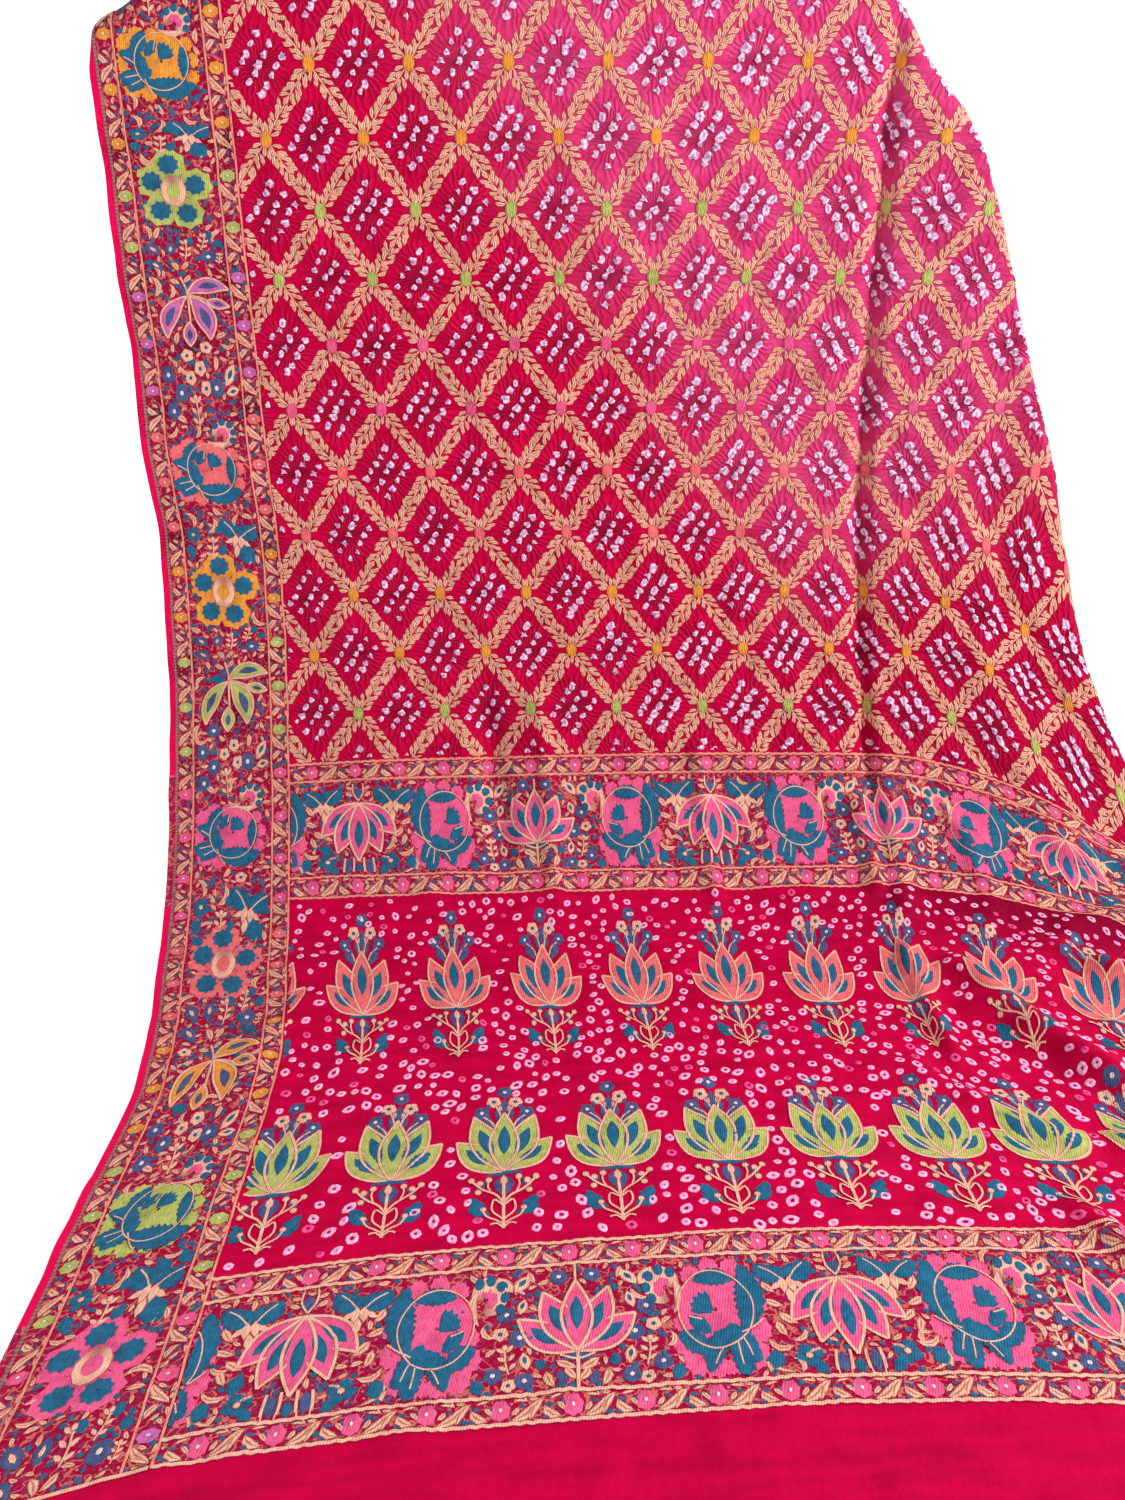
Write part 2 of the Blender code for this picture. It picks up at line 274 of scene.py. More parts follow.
    def _soft_folds(self, across: Array, down: Array) -> Array:
        """Give the height forward of the creases, troughs and ridges of the front."""
        height = np.zeros_like(across)
        for across_0, down_0, across_1, down_1, half_width, rise in self.folds:
            run = np.array((across_1 - across_0, down_1 - down_0))
            length = np.hypot(*run)
            run /= length
            right, below = across - across_0, down - down_0
            share = (right * run[0] + below * run[1]) / length
            aside = (right * run[1] - below * run[0]) / half_width
            ends = smoothstep(0, self.fold_fade, share) * smoothstep(0, self.fold_fade, 1 - share)
            height += rise * ends * np.exp(-aside * aside)
        wave = np.sin(2 * math.pi * down / self.edge_wave_length)
        wave = wave * np.exp(-across / self.edge_wave_reach)
        height = height + self.edge_wave * wave * smoothstep(0.02, 0.12, down)
        hung = smoothstep(0.02, 0.08, down)
        bunched = smoothstep(0.45, 0.72, across - 0.1 * down) * smoothstep(0.5, 0.66, down)
        small, bunches = self._waves(self.crumple, across, down), self._waves(self.rumple, across, down)
        return height + hung * (small + bunched * bunches)

    @staticmethod
    def _waves(rows: Table, across: Array, down: Array) -> Array:
        """Add up waves that run in different directions over the flat cloth."""
        total = np.zeros_like(across)
        for rise, length, way, shift in rows:
            along = across * math.cos(way) + down * math.sin(way)
            bowed = along + 0.012 * np.sin(23.0 * (across - down) + shift)
            total += rise * np.sin(2 * math.pi * bowed / length + shift)
        return total

    def place(self, across: Array, down: Array, lift: Array | float = 0.0) -> Array:
        """Carry points of the flat cloth to where they hang or lie.

        Args:
            across: Distances across the flat cloth.
            down: Distances down the flat cloth.
            lift: Heights above the cloth's right side.

        Returns:
            One row of x, y, z for each point.
        """
        lift = np.zeros_like(across) + lift
        a, d, round_fold, facing = self._fold_back(across, down, lift)
        right = np.maximum(a - self.half, 0)
        left_x, crease_x = curve(self.left_selvedge, d), curve(self.centre_crease, d)
        x = left_x + a * (crease_x - left_x) / self.half
        reach = self.crease_reach
        x = x - self.crease_takes * smoothstep(self.half - reach, self.half + reach, a)
        span = np.maximum(self.fold_line(d) - self.half, 0.03)
        x = x + curve(self.fold_bow, d) * smoothstep(0, 1, right / span)
        fall = curve(self.row_shape, a) * curve(self.row_weight, d)
        fall = fall + curve(self.row_sag, d) * right * right
        dip = curve(self.crest_dip, a) * (1 - smoothstep(*self.dip_fade, d))
        forward, height, angle = self.profile.at(d + fall - dip)
        laid = smoothstep(*self.laid, d + fall)
        folds = self._soft_folds(a, d)
        trough = np.minimum(folds, 0) * (1 - laid)
        ride = laid * self._over_flap(a, d) * 2 * self.fold_radius[-1][1]
        front = np.maximum(folds, 0) + trough + ride
        flap = trough - (1 - laid) * 2 * curve(self.fold_radius, d)
        off = front + (flap - front) * round_fold
        rest = self.floor + np.maximum(front, 0) * laid * (1 - round_fold)
        proud = lift * facing
        z = np.maximum(height - dip + off * np.sin(angle), rest) + proud * np.sin(angle)
        z = np.maximum(z, self.floor - self.below)
        return np.stack([x, -forward - (off + proud) * np.cos(angle), z], axis=-1)


# ---- thread work


class Thread(Enum):
    """The dyed threads, and the marks that the dyer's knots leave."""

    PEACH = 0
    TEAL = 1
    SLATE = 2
    ORANGE = 3
    GREEN = 4
    PINK = 5
    CORAL = 6
    LILAC = 7
    IVORY = 8
    LINE = 9
    TIE = 10
    RING = 11
    FAINT = 12
    ZARI = 13
    SILK = 14
    MEENA = 15  # stands for the colour of the band that the motif lies in
    LEAF = 16


PEACH, TEAL, SLATE, ORANGE, GREEN, PINK, CORAL, LILAC, IVORY = list(Thread)[:9]
LINE, TIE, RING, FAINT, ZARI, SILK, MEENA, LEAF = list(Thread)[9:]
LAYERS = (0.0003, 0.0005, 0.0007, 0.00095, 0.00115)  # heights of stacked threads
CELL = 3.9  # mm, longest facet of a thread stroke


@dataclass(frozen=True)
class Window:
    """A part of the flat cloth, in mm."""

    left: float
    right: float
    top: float
    bottom: float

    def room(self, x: float, y: float) -> float:
        """Give how far a point is from the nearest side."""
        return min(x - self.left, self.right - x, y - self.top, self.bottom - y)


@dataclass
class Work:
    """Finished strokes as plain arrays, in mm on the flat cloth.

    Attributes:
        points: Rows of across and down in mm, and lift in metres.
        grain: Rows of share along and side (-1 to 1) of the stroke, for veins.
        quads: Rows of four point numbers.
        threads: The thread number of each quad.
    """

    points: Array
    grain: Array
    quads: Array
    threads: Array

    @staticmethod
    def join(parts: Sequence[Work]) -> Work:
        """Join several pieces of work into one."""
        starts = np.cumsum([0] + [len(part.points) for part in parts[:-1]])
        return Work(np.concatenate([part.points for part in parts]),
            np.concatenate([part.grain for part in parts]),
            np.concatenate([part.quads + start for part, start in zip(parts, starts)]),
            np.concatenate([part.threads for part in parts]))

    def stamp(self, places: Sequence[Place]) -> Work:
        """Repeat the work at several places.

        Args:
            places: Where, at what angle and size, and in which band colour.

        Returns:
            All the copies as one piece of work.
        """
        copies = []
        for place in places:
            xy = self.points[:, :2] * place.size
            xy = xy * np.where(xy[:, 1:] < 0, (place.wide, place.above), (place.wide, place.below))
            xy[:, 0] *= -1 if place.mirror else 1
            turn = math.radians(place.angle)
            cos, sin = math.cos(turn), math.sin(turn)
            turned = np.stack([xy[:, 0] * cos - xy[:, 1] * sin, xy[:, 0] * sin + xy[:, 1] * cos], 1)
            points = np.column_stack([turned + (place.x, place.y), self.points[:, 2]])
            threads = np.where(self.threads == MEENA.value, place.meena.value, self.threads)
            quads = self.quads[:, ::-1] if place.mirror else self.quads
            copies.append(Work(points, self.grain, quads, threads))
        return Work.join(copies)

    def inside(self, window: Window) -> Work:
        """Keep the quads that lie wholly inside a window."""
        x, y = self.points[:, 0], self.points[:, 1]
        good = (x >= window.left) & (x <= window.right) & (y >= window.top) & (y <= window.bottom)
        keep = good[self.quads].all(axis=1)
        used = np.unique(self.quads[keep])
        number = np.zeros(len(self.points), int)
        number[used] = np.arange(len(used))
        return Work(self.points[used], self.grain[used], number[self.quads[keep]], self.threads[keep])


@dataclass(frozen=True)
class Place:
    """One place of a stamped motif: mm on the flat cloth, degrees, size and colour."""

    x: float
    y: float
    angle: float = 0.0
    size: float = 1.0
    mirror: bool = False
    meena: Thread = PINK
    wide: float = 1.0
    above: float = 1.0
    below: float = 1.0


class Pen:
    """Draws strokes of thread, in mm on the flat cloth, and hands over the finished work.

    A stroke's bend, and the place where it is full, are shares of its length. Its layer counts the
    threads that it lies on, and its puff is the height of its middle. Blunt goes from 0 for pointed
    ends to 1 for round ones, and teeth are the steps along each edge.
    """

    def __init__(self) -> None:
        """Start with nothing drawn."""
        self.parts: list[Work] = []

    def work(self) -> Work:
        """Hand over what has been drawn."""
        return Work.join(self.parts)

    def grid(self, thread: Thread, xy: Array, lift: Array, grain: Array, closed: bool) -> None:
        """Add a grid of points as quads.

        Args:
            thread: Its thread.
            xy: Places in mm, by row and column.
            lift: Heights in metres.
            grain: Share along and side of the stroke.
            closed: Whether the last row meets the first.
        """
        rows, columns = lift.shape
        number = np.arange(rows * columns).reshape(rows, columns)
        if closed:
            number = np.concatenate([number, number[:1]])
        quads = np.stack([number[:-1, :-1], number[1:, :-1], number[1:, 1:], number[:-1, 1:]],
            -1).reshape(-1, 4)
        points = np.column_stack([xy.reshape(-1, 2), lift.ravel()])
        threads = np.full(len(quads), thread.value)
        self.parts.append(Work(points, grain.reshape(-1, 2), quads, threads))

    def strip(self, thread: Thread, spine: Array, half: Array, layer: int = 0, puff: float = 0.25,
            sides: int = 2, closed: bool = False) -> None:
        """Lay a domed strip along a line.

        Args:
            thread: Its thread.
            spine: Points along its middle, in mm.
            half: Half its width at each point, in mm.
            layer: Number of threads under it.
            puff: Height of its middle, in mm.
            sides: Number of facets across it.
            closed: Whether its end meets its start.
        """
        ends = spine[[-1, *range(len(spine)), 0]] if closed else None
        run = (ends[2:] - ends[:-2]) if closed else np.gradient(spine, axis=0)
        run = run / np.maximum(np.linalg.norm(run, axis=1, keepdims=True), 1e-9)
        normal = np.stack([-run[:, 1], run[:, 0]], 1)
        side = np.linspace(-1, 1, sides + 1)
        xy = spine[:, None] + normal[:, None] * (half[:, None] * side)[..., None]
        share = np.linspace(0, 1, len(spine))[:, None] + 0 * side
        dome = (1 - side**2) * np.minimum(half / 2.0, 1)[:, None]
        lift = LAYERS[layer] + puff * MM * dome
        self.grid(thread, xy, lift, np.stack([share, side + 0 * share], -1), closed)

    def blade(self, thread: Thread, base: Point, tip: Point, width: float, bend: float = 0.0,
            full: float = 0.5, layer: int = 0, puff: float = 0.28, blunt: float = 0.0,
            teeth: int = 0) -> None:
        """Weave a leaf or petal from its base to its tip."""
        spine, half = self._blade_line(base, tip, width, bend, full, blunt, teeth)
        self.strip(thread, spine, half, layer, puff, 2 if width < 7 else 4)

    @staticmethod
    def _blade_line(base: Point, tip: Point, width: float, bend: float, full: float, blunt: float,
            teeth: int) -> tuple[Array, Array]:
        """Work out the middle line and the half widths of a blade."""
        start, end = np.array(base, float), np.array(tip, float)
        length = float(np.linalg.norm(end - start))
        steps = max(3, math.ceil(length / CELL), 2 * teeth)
        t = np.linspace(0, 1, steps + 1)
        aside = np.array([-(end - start)[1], (end - start)[0]])
        spine = start + t[:, None] * (end - start) + (4 * bend * t * (1 - t))[:, None] * aside
        swell = np.sin(math.pi * t ** (math.log(0.5) / math.log(full)))
        swell = np.clip(swell, 0.0, 1.0) ** (1 - 0.6 * blunt)
        if teeth:
            swell = swell * np.where(np.arange(steps + 1) % 2 == 0, 0.84, 1.08)
        return spine, np.maximum(width / 2 * swell, 0.12)

    def cord(self, thread: Thread, points: Iterable[Point], width: float, layer: int = 0,
            puff: float = 0.3) -> None:
        """Lay a cord along a smooth line through points."""
        line = self._smooth(np.array(list(points), float))
        self.strip(thread, line, np.full(len(line), width / 2), layer, puff, 2 if width > 0.9 else 1)

    @staticmethod
    def _smooth(points: Array) -> Array:
        """Pass a smooth line through points, with a point at least every facet length."""
        if len(points) == 2:
            steps = max(1, math.ceil(float(np.linalg.norm(points[1] - points[0])) / CELL))
            return points[0] + np.linspace(0, 1, steps + 1)[:, None] * (points[1] - points[0])
        ends = np.concatenate([2 * points[:1] - points[1:2], points, 2 * points[-1:] - points[-2:-1]])
        line = [points[:1]]
        for before, start, end, after in zip(ends, ends[1:], ends[2:], ends[3:]):
            steps = max(2, math.ceil(float(np.linalg.norm(end - start)) / 3.0))
            t = (np.arange(1, steps + 1) / steps)[:, None]
            line.append(
                0.5
                * (
                    2 * start
                    + (end - before) * t
                    + (2 * before - 5 * start + 4 * end - after) * t**2
                    + (3 * start - before - 3 * end + after) * t**3
                )
            )
        return np.concatenate(line)

    def blades(self, rows: Iterable[tuple]) -> None:
        """Weave blades on the right of x = 0 and their mirror images on the left.

        Args:
            rows: What each blade takes, from its thread to its bend or further.
        """
        for thread, base, tip, width, bend, *rest in rows:
            for side in (-1, 1):
                ends = (base[0] * side, base[1]), (tip[0] * side, tip[1])
                self.blade(thread, *ends, width, bend * side, *rest)

    def cords(self, rows: Iterable[tuple]) -> None:
        """Lay peach cords on the right of x = 0 and their mirror images on the left.

        Args:
            rows: Width, layer and points of each cord.
        """
        for width, layer, *points in rows:
            for side in (-1, 1):
                self.cord(PEACH, [(x * side, y) for x, y in points], width, layer)

    def petal(self, fill: Thread, base: Point, tip: Point, width: float, bend: float = 0.0,
            full: float = 0.5, layer: int = 0, heart: Thread = TEAL, rim_width: float = 1.9) -> None:
        """Weave a petal with a peach corded rim and an almond heart.

        Args:
            fill: The thread of the petal itself.
            base: Where it begins, in mm.
            tip: Where it ends, in mm.
            width: Its greatest width, in mm.
            bend: Bow of its middle line.
            full: Where it is widest.
            layer: Number of threads under it.
            heart: The thread of its heart.
            rim_width: Width of the rim, in mm.
        """
        self.blade(fill, base, tip, width, bend, full, layer, puff=0.2)
        spine, half = self._blade_line(base, tip, width, bend, full, 0.0, 0)
        run = np.gradient(spine, axis=0)
        run /= np.linalg.norm(run, axis=1, keepdims=True)
        normal = np.stack([-run[:, 1], run[:, 0]], 1) * half[:, None]
        loop = np.concatenate([(spine + normal), (spine - normal)[::-1]])
        self.strip(PEACH, loop, np.full(len(loop), rim_width / 2), layer + 1, 0.3, 2, closed=True)
        start, end = self._along(spine, 0.28), self._along(spine, 0.78)
        self.blade(heart, start, end, 0.44 * width, bend * 0.5, 0.5, layer + 1, 0.25, 0.3)

    @staticmethod
    def _along(spine: Array, share: float) -> Point:
        """Give the point at a share of a line's length."""
        t = np.linspace(0, 1, len(spine))
        return float(np.interp(share, t, spine[:, 0])), float(np.interp(share, t, spine[:, 1]))

    def dot(self, thread: Thread, centre: Point, across: float, down: float | None = None, layer: int = 0,
            peak: float = 0.3, sides: int = 8) -> None:
        """Weave a small domed oval.

        Args:
            thread: Its thread.
            centre: Its middle, in mm.
            across: Half its width, in mm.
            down: Half its height, in mm; the same as its half width if left out.
            layer: Number of threads under it.
            peak: Height of its middle, in mm.
            sides: Number of its sides, an even number.
        """
        round_about = 2 * math.pi * (np.arange(sides) + 0.5) / sides
        rim = np.stack([np.cos(round_about) * across, np.sin(round_about) * (down or across)], 1)
        points = np.concatenate([rim, rim * 0.6, [[0, 0]]]) + centre
        heights = np.repeat((0.0, 0.75, 1.0), (sides, sides, 1)) * peak * MM + LAYERS[layer]
        grain = np.stack([np.repeat((1.0, 0.6, 0.0), (sides, sides, 1))] * 2, 1)
        outer = np.arange(sides)
        nxt = (outer + 1) % sides
        belt = np.stack([outer, nxt, nxt + sides, outer + sides], 1)
        even = outer[::2]
        cap = np.stack([np.full(len(even), 2 * sides), even + sides, even + 1 + sides,
            (even + 2) % sides + sides], 1)
        quads = np.concatenate([belt, cap])
        self.parts.append(Work(np.column_stack([points, heights]), grain, quads,
            np.full(len(quads), thread.value)))

    def ring(self, thread: Thread, centre: Point, radius: float, hole: float, peak: float) -> None:
        """Leave a tied ring: a puckered square of undyed cloth with a dyed middle.

        Args:
            thread: The mark that it leaves.
            centre: Its middle, in mm.
            radius: Half its width, in mm.
            hole: Radius of its dyed middle, in mm.
            peak: Height of its ridge, in mm.
        """
        round_about = 2 * math.pi * np.arange(8) / 8
        square = np.where(np.arange(8) % 2 == 0, 1.06, 0.97)[:, None]
        rim = np.stack([np.cos(round_about), np.sin(round_about)], 1) * square
        sizes = np.array((radius, 0.62 * radius, hole))
        xy = rim[:, None] * sizes[:, None] + np.array(centre)
        lift = np.tile(LAYERS[0] + np.array((-0.15, peak, 0.1)) * MM, (8, 1))
        share = np.tile((1.0, 0.5, 0.0), (8, 1))
        self.grid(thread, xy, lift, np.stack([share, share], -1), closed=True)

    def fan(self, thread: Thread, centre: Point, towards: float, spread: float, reach: float,
            inner: float = 0.2, teeth: int = 5, layer: int = 0, tooth: float = 0.12, droop: float = 0.22,
            narrow: float = 1.0, puff: float = 0.3) -> None:
        """Weave a toothed lobe: a fan of floats with a stepped rim.

        Args:
            thread: Its thread.
            centre: The point that it opens from, in mm.
            towards: Direction of its middle, in degrees (0 is right, 90 is down).
            spread: Angle that it covers, in degrees.
            reach: Its outer radius, in mm.
            inner: Share of the reach at which it begins.
            teeth: Number of its teeth.
            layer: Number of threads under it.
            tooth: Depth of a tooth, as a share of the reach.
            droop: How much shorter it is at its two ends, as a share of the reach.
            narrow: Factor on its width across the cloth.
            puff: Height of its middle over its rim, in mm.
        """
        steps = 2 * teeth
        share = np.linspace(-1, 1, steps + 1)
        angle = np.radians(towards + share * spread / 2)
        rim = reach * (1 - droop * share**4) * np.where(np.arange(steps + 1) % 2, 1, 1 - tooth)
        rings = max(3, math.ceil(reach * (1 - inner) / CELL)) + 1
        out = np.linspace(inner, 1, rings)
        ray = np.stack([narrow * np.cos(angle), np.sin(angle)], 1)
        xy = np.array(centre) + ray[:, None] * (rim[:, None] * out)[..., None]
        dome = (1 - share[:, None] ** 2 * (droop > 0)) * np.cos(math.pi / 2 * out)
        lift = LAYERS[layer] + puff * MM * dome
        grain = np.stack([out + 0 * dome, share[:, None] + 0 * dome], -1)
        self.grid(thread, xy, lift, grain, closed=False)


# ---- finishes


def dye(red: int, green: int, blue: int) -> Colour:
    """Turn a colour as a dyer's card shows it (0 to 255) into a shader's linear colour."""
    scaled = (channel / 255 for channel in (red, green, blue))
    linear = (c / 12.92 if c <= 0.04045 else ((c + 0.055) / 1.055) ** 2.4 for c in scaled)
    return (*linear, 1.0)


class Signal:
    """A number that varies over a surface, built up from shader nodes by plain arithmetic."""

    def __init__(self, tree: bpy.types.NodeTree, socket: Socket) -> None:
        """Wrap a node's output socket."""
        self.tree, self.socket = tree, socket

    def _math(self, operation: str, *others: Signal | float) -> Signal:
        """Add a Math node that takes this signal first."""
        node = add_node(self.tree, "Math", dict(enumerate((self, *others))), operation=operation)
        return Signal(self.tree, node.outputs[0])

    __add__ = partialmethod(_math, "ADD")
    __sub__ = partialmethod(_math, "SUBTRACT")
    __mul__ = partialmethod(_math, "MULTIPLY")
    sin = partialmethod(_math, "SINE")
    fract = partialmethod(_math, "FRACT")
    abs = partialmethod(_math, "ABSOLUTE")
    atan2 = partialmethod(_math, "ARCTAN2")

    def ramp(self, low: float, high: float, start: float = 0.0, end: float = 1.0) -> Signal:
        """Ease from start to end as the signal goes from low to high."""
        inputs = {"Value": self, "From Min": low, "From Max": high, "To Min": start, "To Max": end}
        node = add_node(self.tree, "MapRange", inputs, interpolation_type="SMOOTHSTEP")
        return Signal(self.tree, node.outputs["Result"])


Inputs = dict[int | str, Signal | Socket | float | Colour]


def wire(tree: bpy.types.NodeTree, node: bpy.types.Node, inputs: Inputs) -> None:
    """Give each named input of a node its value, or link it to its signal or socket."""
    for name, value in inputs.items():
        value = value.socket if isinstance(value, Signal) else value
        if isinstance(value, Socket):
            tree.links.new(value, node.inputs[name])
        else:
            node.inputs[name].default_value = value


def add_node(tree: bpy.types.NodeTree, kind: str, inputs: Inputs, **settings: str) -> bpy.types.Node:
    """Add a shader node.

    Args:
        tree: The material's node tree.
        kind: The node's kind, without what all kinds begin with.
        inputs: What its inputs are set or linked to.
        **settings: What its own properties are set to.

    Returns:
        The node.
    """
    node = tree.nodes.new(f"ShaderNode{kind}")
    for name, value in settings.items():
        setattr(node, name, value)
    wire(tree, node, inputs)
    return node


class Shade:
    """A material under construction: its node tree and the signals it can draw on."""

    def __init__(self, name: str) -> None:
        """Start a material with a bare Principled shader."""
        self.material = bpy.data.materials.new(name)
        self.material.use_nodes = True
        self.tree = self.material.node_tree
        self.shader = self.tree.nodes["Principled BSDF"]

    def coordinates(self, uv_map: str) -> tuple[Socket, Signal, Signal]:
        """Give a UV map as a vector socket and as two signals."""
        where = add_node(self.tree, "UVMap", {}, uv_map=uv_map).outputs[0]
        split = add_node(self.tree, "SeparateXYZ", {0: where}).outputs
        return where, Signal(self.tree, split[0]), Signal(self.tree, split[1])

    def noise(self, where: Socket, scale: float, stretch: Point = (1, 1), detail: float = 2.0) -> Signal:
        """Add cloudy noise.

        Args:
            where: Vector socket in metres on the flat cloth.
            scale: Features for each metre.
            stretch: Factors on the two directions.
            detail: Octaves of the noise.

        Returns:
            A signal of about 0 to 1.
        """
        mapping = add_node(self.tree, "Mapping", {"Vector": where, "Scale": (*stretch, 1)})
        inputs = {"Vector": mapping.outputs[0], "Scale": scale, "Detail": detail}
        return Signal(self.tree, add_node(self.tree, "TexNoise", inputs).outputs[0])

    def mix(self, share: Signal, low: Colour | Socket, high: Colour | Socket) -> Socket:
        """Blend from one colour to another as the share goes from 0 to 1."""
        return add_node(self.tree, "Mix", {0: share, 6: low, 7: high}, data_type="RGBA").outputs[2]

    def bump(self, height: Signal, distance: float, strength: float) -> None:
        """Give the shader a bumpy normal from a height signal."""
        inputs = {"Strength": strength, "Distance": distance, "Height": height}
        wire(self.tree, self.shader, {"Normal": add_node(self.tree, "Bump", inputs).outputs[0]})

    def finish(self, colour: Socket, roughness: Signal, sheen: float, tint: Colour) -> None:
        """Connect colour and roughness and set the weight and the tint of the sheen."""
        gloss = {"Metallic": 0.0, "Specular IOR Level": 0.03, "Sheen Roughness": 0.45}
        given = {"Base Color": colour, "Roughness": roughness, "Sheen Weight": sheen, "Sheen Tint": tint}
        wire(self.tree, self.shader, gloss | given)


@dataclass(frozen=True)
class ThreadFinish:
    """Woven floats of one dyed thread."""

    name: str
    light: Colour
    dark: Colour
    vein: float = 0.0
    # shadow and gap: the strength and colour of the painted shade that darkens the edges of each stroke
    shadow: float = 0.22
    gap: Colour = dye(60, 20, 60)
    sheen: float = 0.06

    def material(self) -> bpy.types.Material:
        """Build the material: fine floats, cloudy dye, painted edge shade and, on leaves, a darker vein."""
        shade = Shade(self.name)
        flat, across, down = shade.coordinates("flat")
        _, _, side = shade.coordinates("grain")
        cloud = shade.noise(flat, 160.0, detail=3.0)
        floats = (across * 4200.0 + down * 900.0).sin() * 0.5 + 0.5
        worn = shade.noise(flat, 700.0, (1, 0.35))
        share = cloud.ramp(0.35, 0.72) * 0.4 + floats * 0.2 + worn.ramp(0.35, 0.65) * 0.35
        colour = shade.mix(share, self.light, self.dark)
        if self.vein:
            middle = side.abs().ramp(0.08, 0.3, self.vein, 0.0)
            colour = shade.mix(middle, colour, dye(140, 56, 54))
        # painted shade: each stroke darkens towards its edges, where threads meet
        edge = side.abs().ramp(0.55, 1.0, 0.0, self.shadow)
        colour = shade.mix(edge, colour, self.gap)
        shade.bump(floats * 0.6 + worn, 0.0005, 0.7)
        shade.finish(colour, worn * 0.25 + 0.5, self.sheen, self.light)
        return shade.material


@dataclass(frozen=True)
class TieFinish:
    """Undyed cloth where a knot was tied: pale in the middle, dyed at its foot."""

    name: str
    pale: Colour
    # colour of the painted shade in the creases, and of the middle
    grey: Colour
    foot: Colour

    def material(self) -> bpy.types.Material:
        """Build the material: pale peak, painted grey-lilac shade in the creases and a dyed foot."""
        shade = Shade(self.name)
        flat, _, _ = shade.coordinates("flat")
        _, out, _ = shade.coordinates("grain")
        crease = shade.noise(flat, 420.0, (1.0, 0.7), 3.0)
        # painted shade: grey-lilac in the creases of the puckered cloth
        colour = shade.mix(crease.ramp(0.42, 0.6, 0.0, 0.8), self.pale, self.grey)
        colour = shade.mix(out.ramp(0.0, 0.55, 0.9, 0.0), colour, self.grey)
        colour = shade.mix(out.ramp(0.8, 1.0), colour, self.foot)
        shade.bump(crease, 0.0012, 0.7)
        shade.finish(colour, crease * 0.2 + 0.55, 0.05, self.pale)
        return shade.material


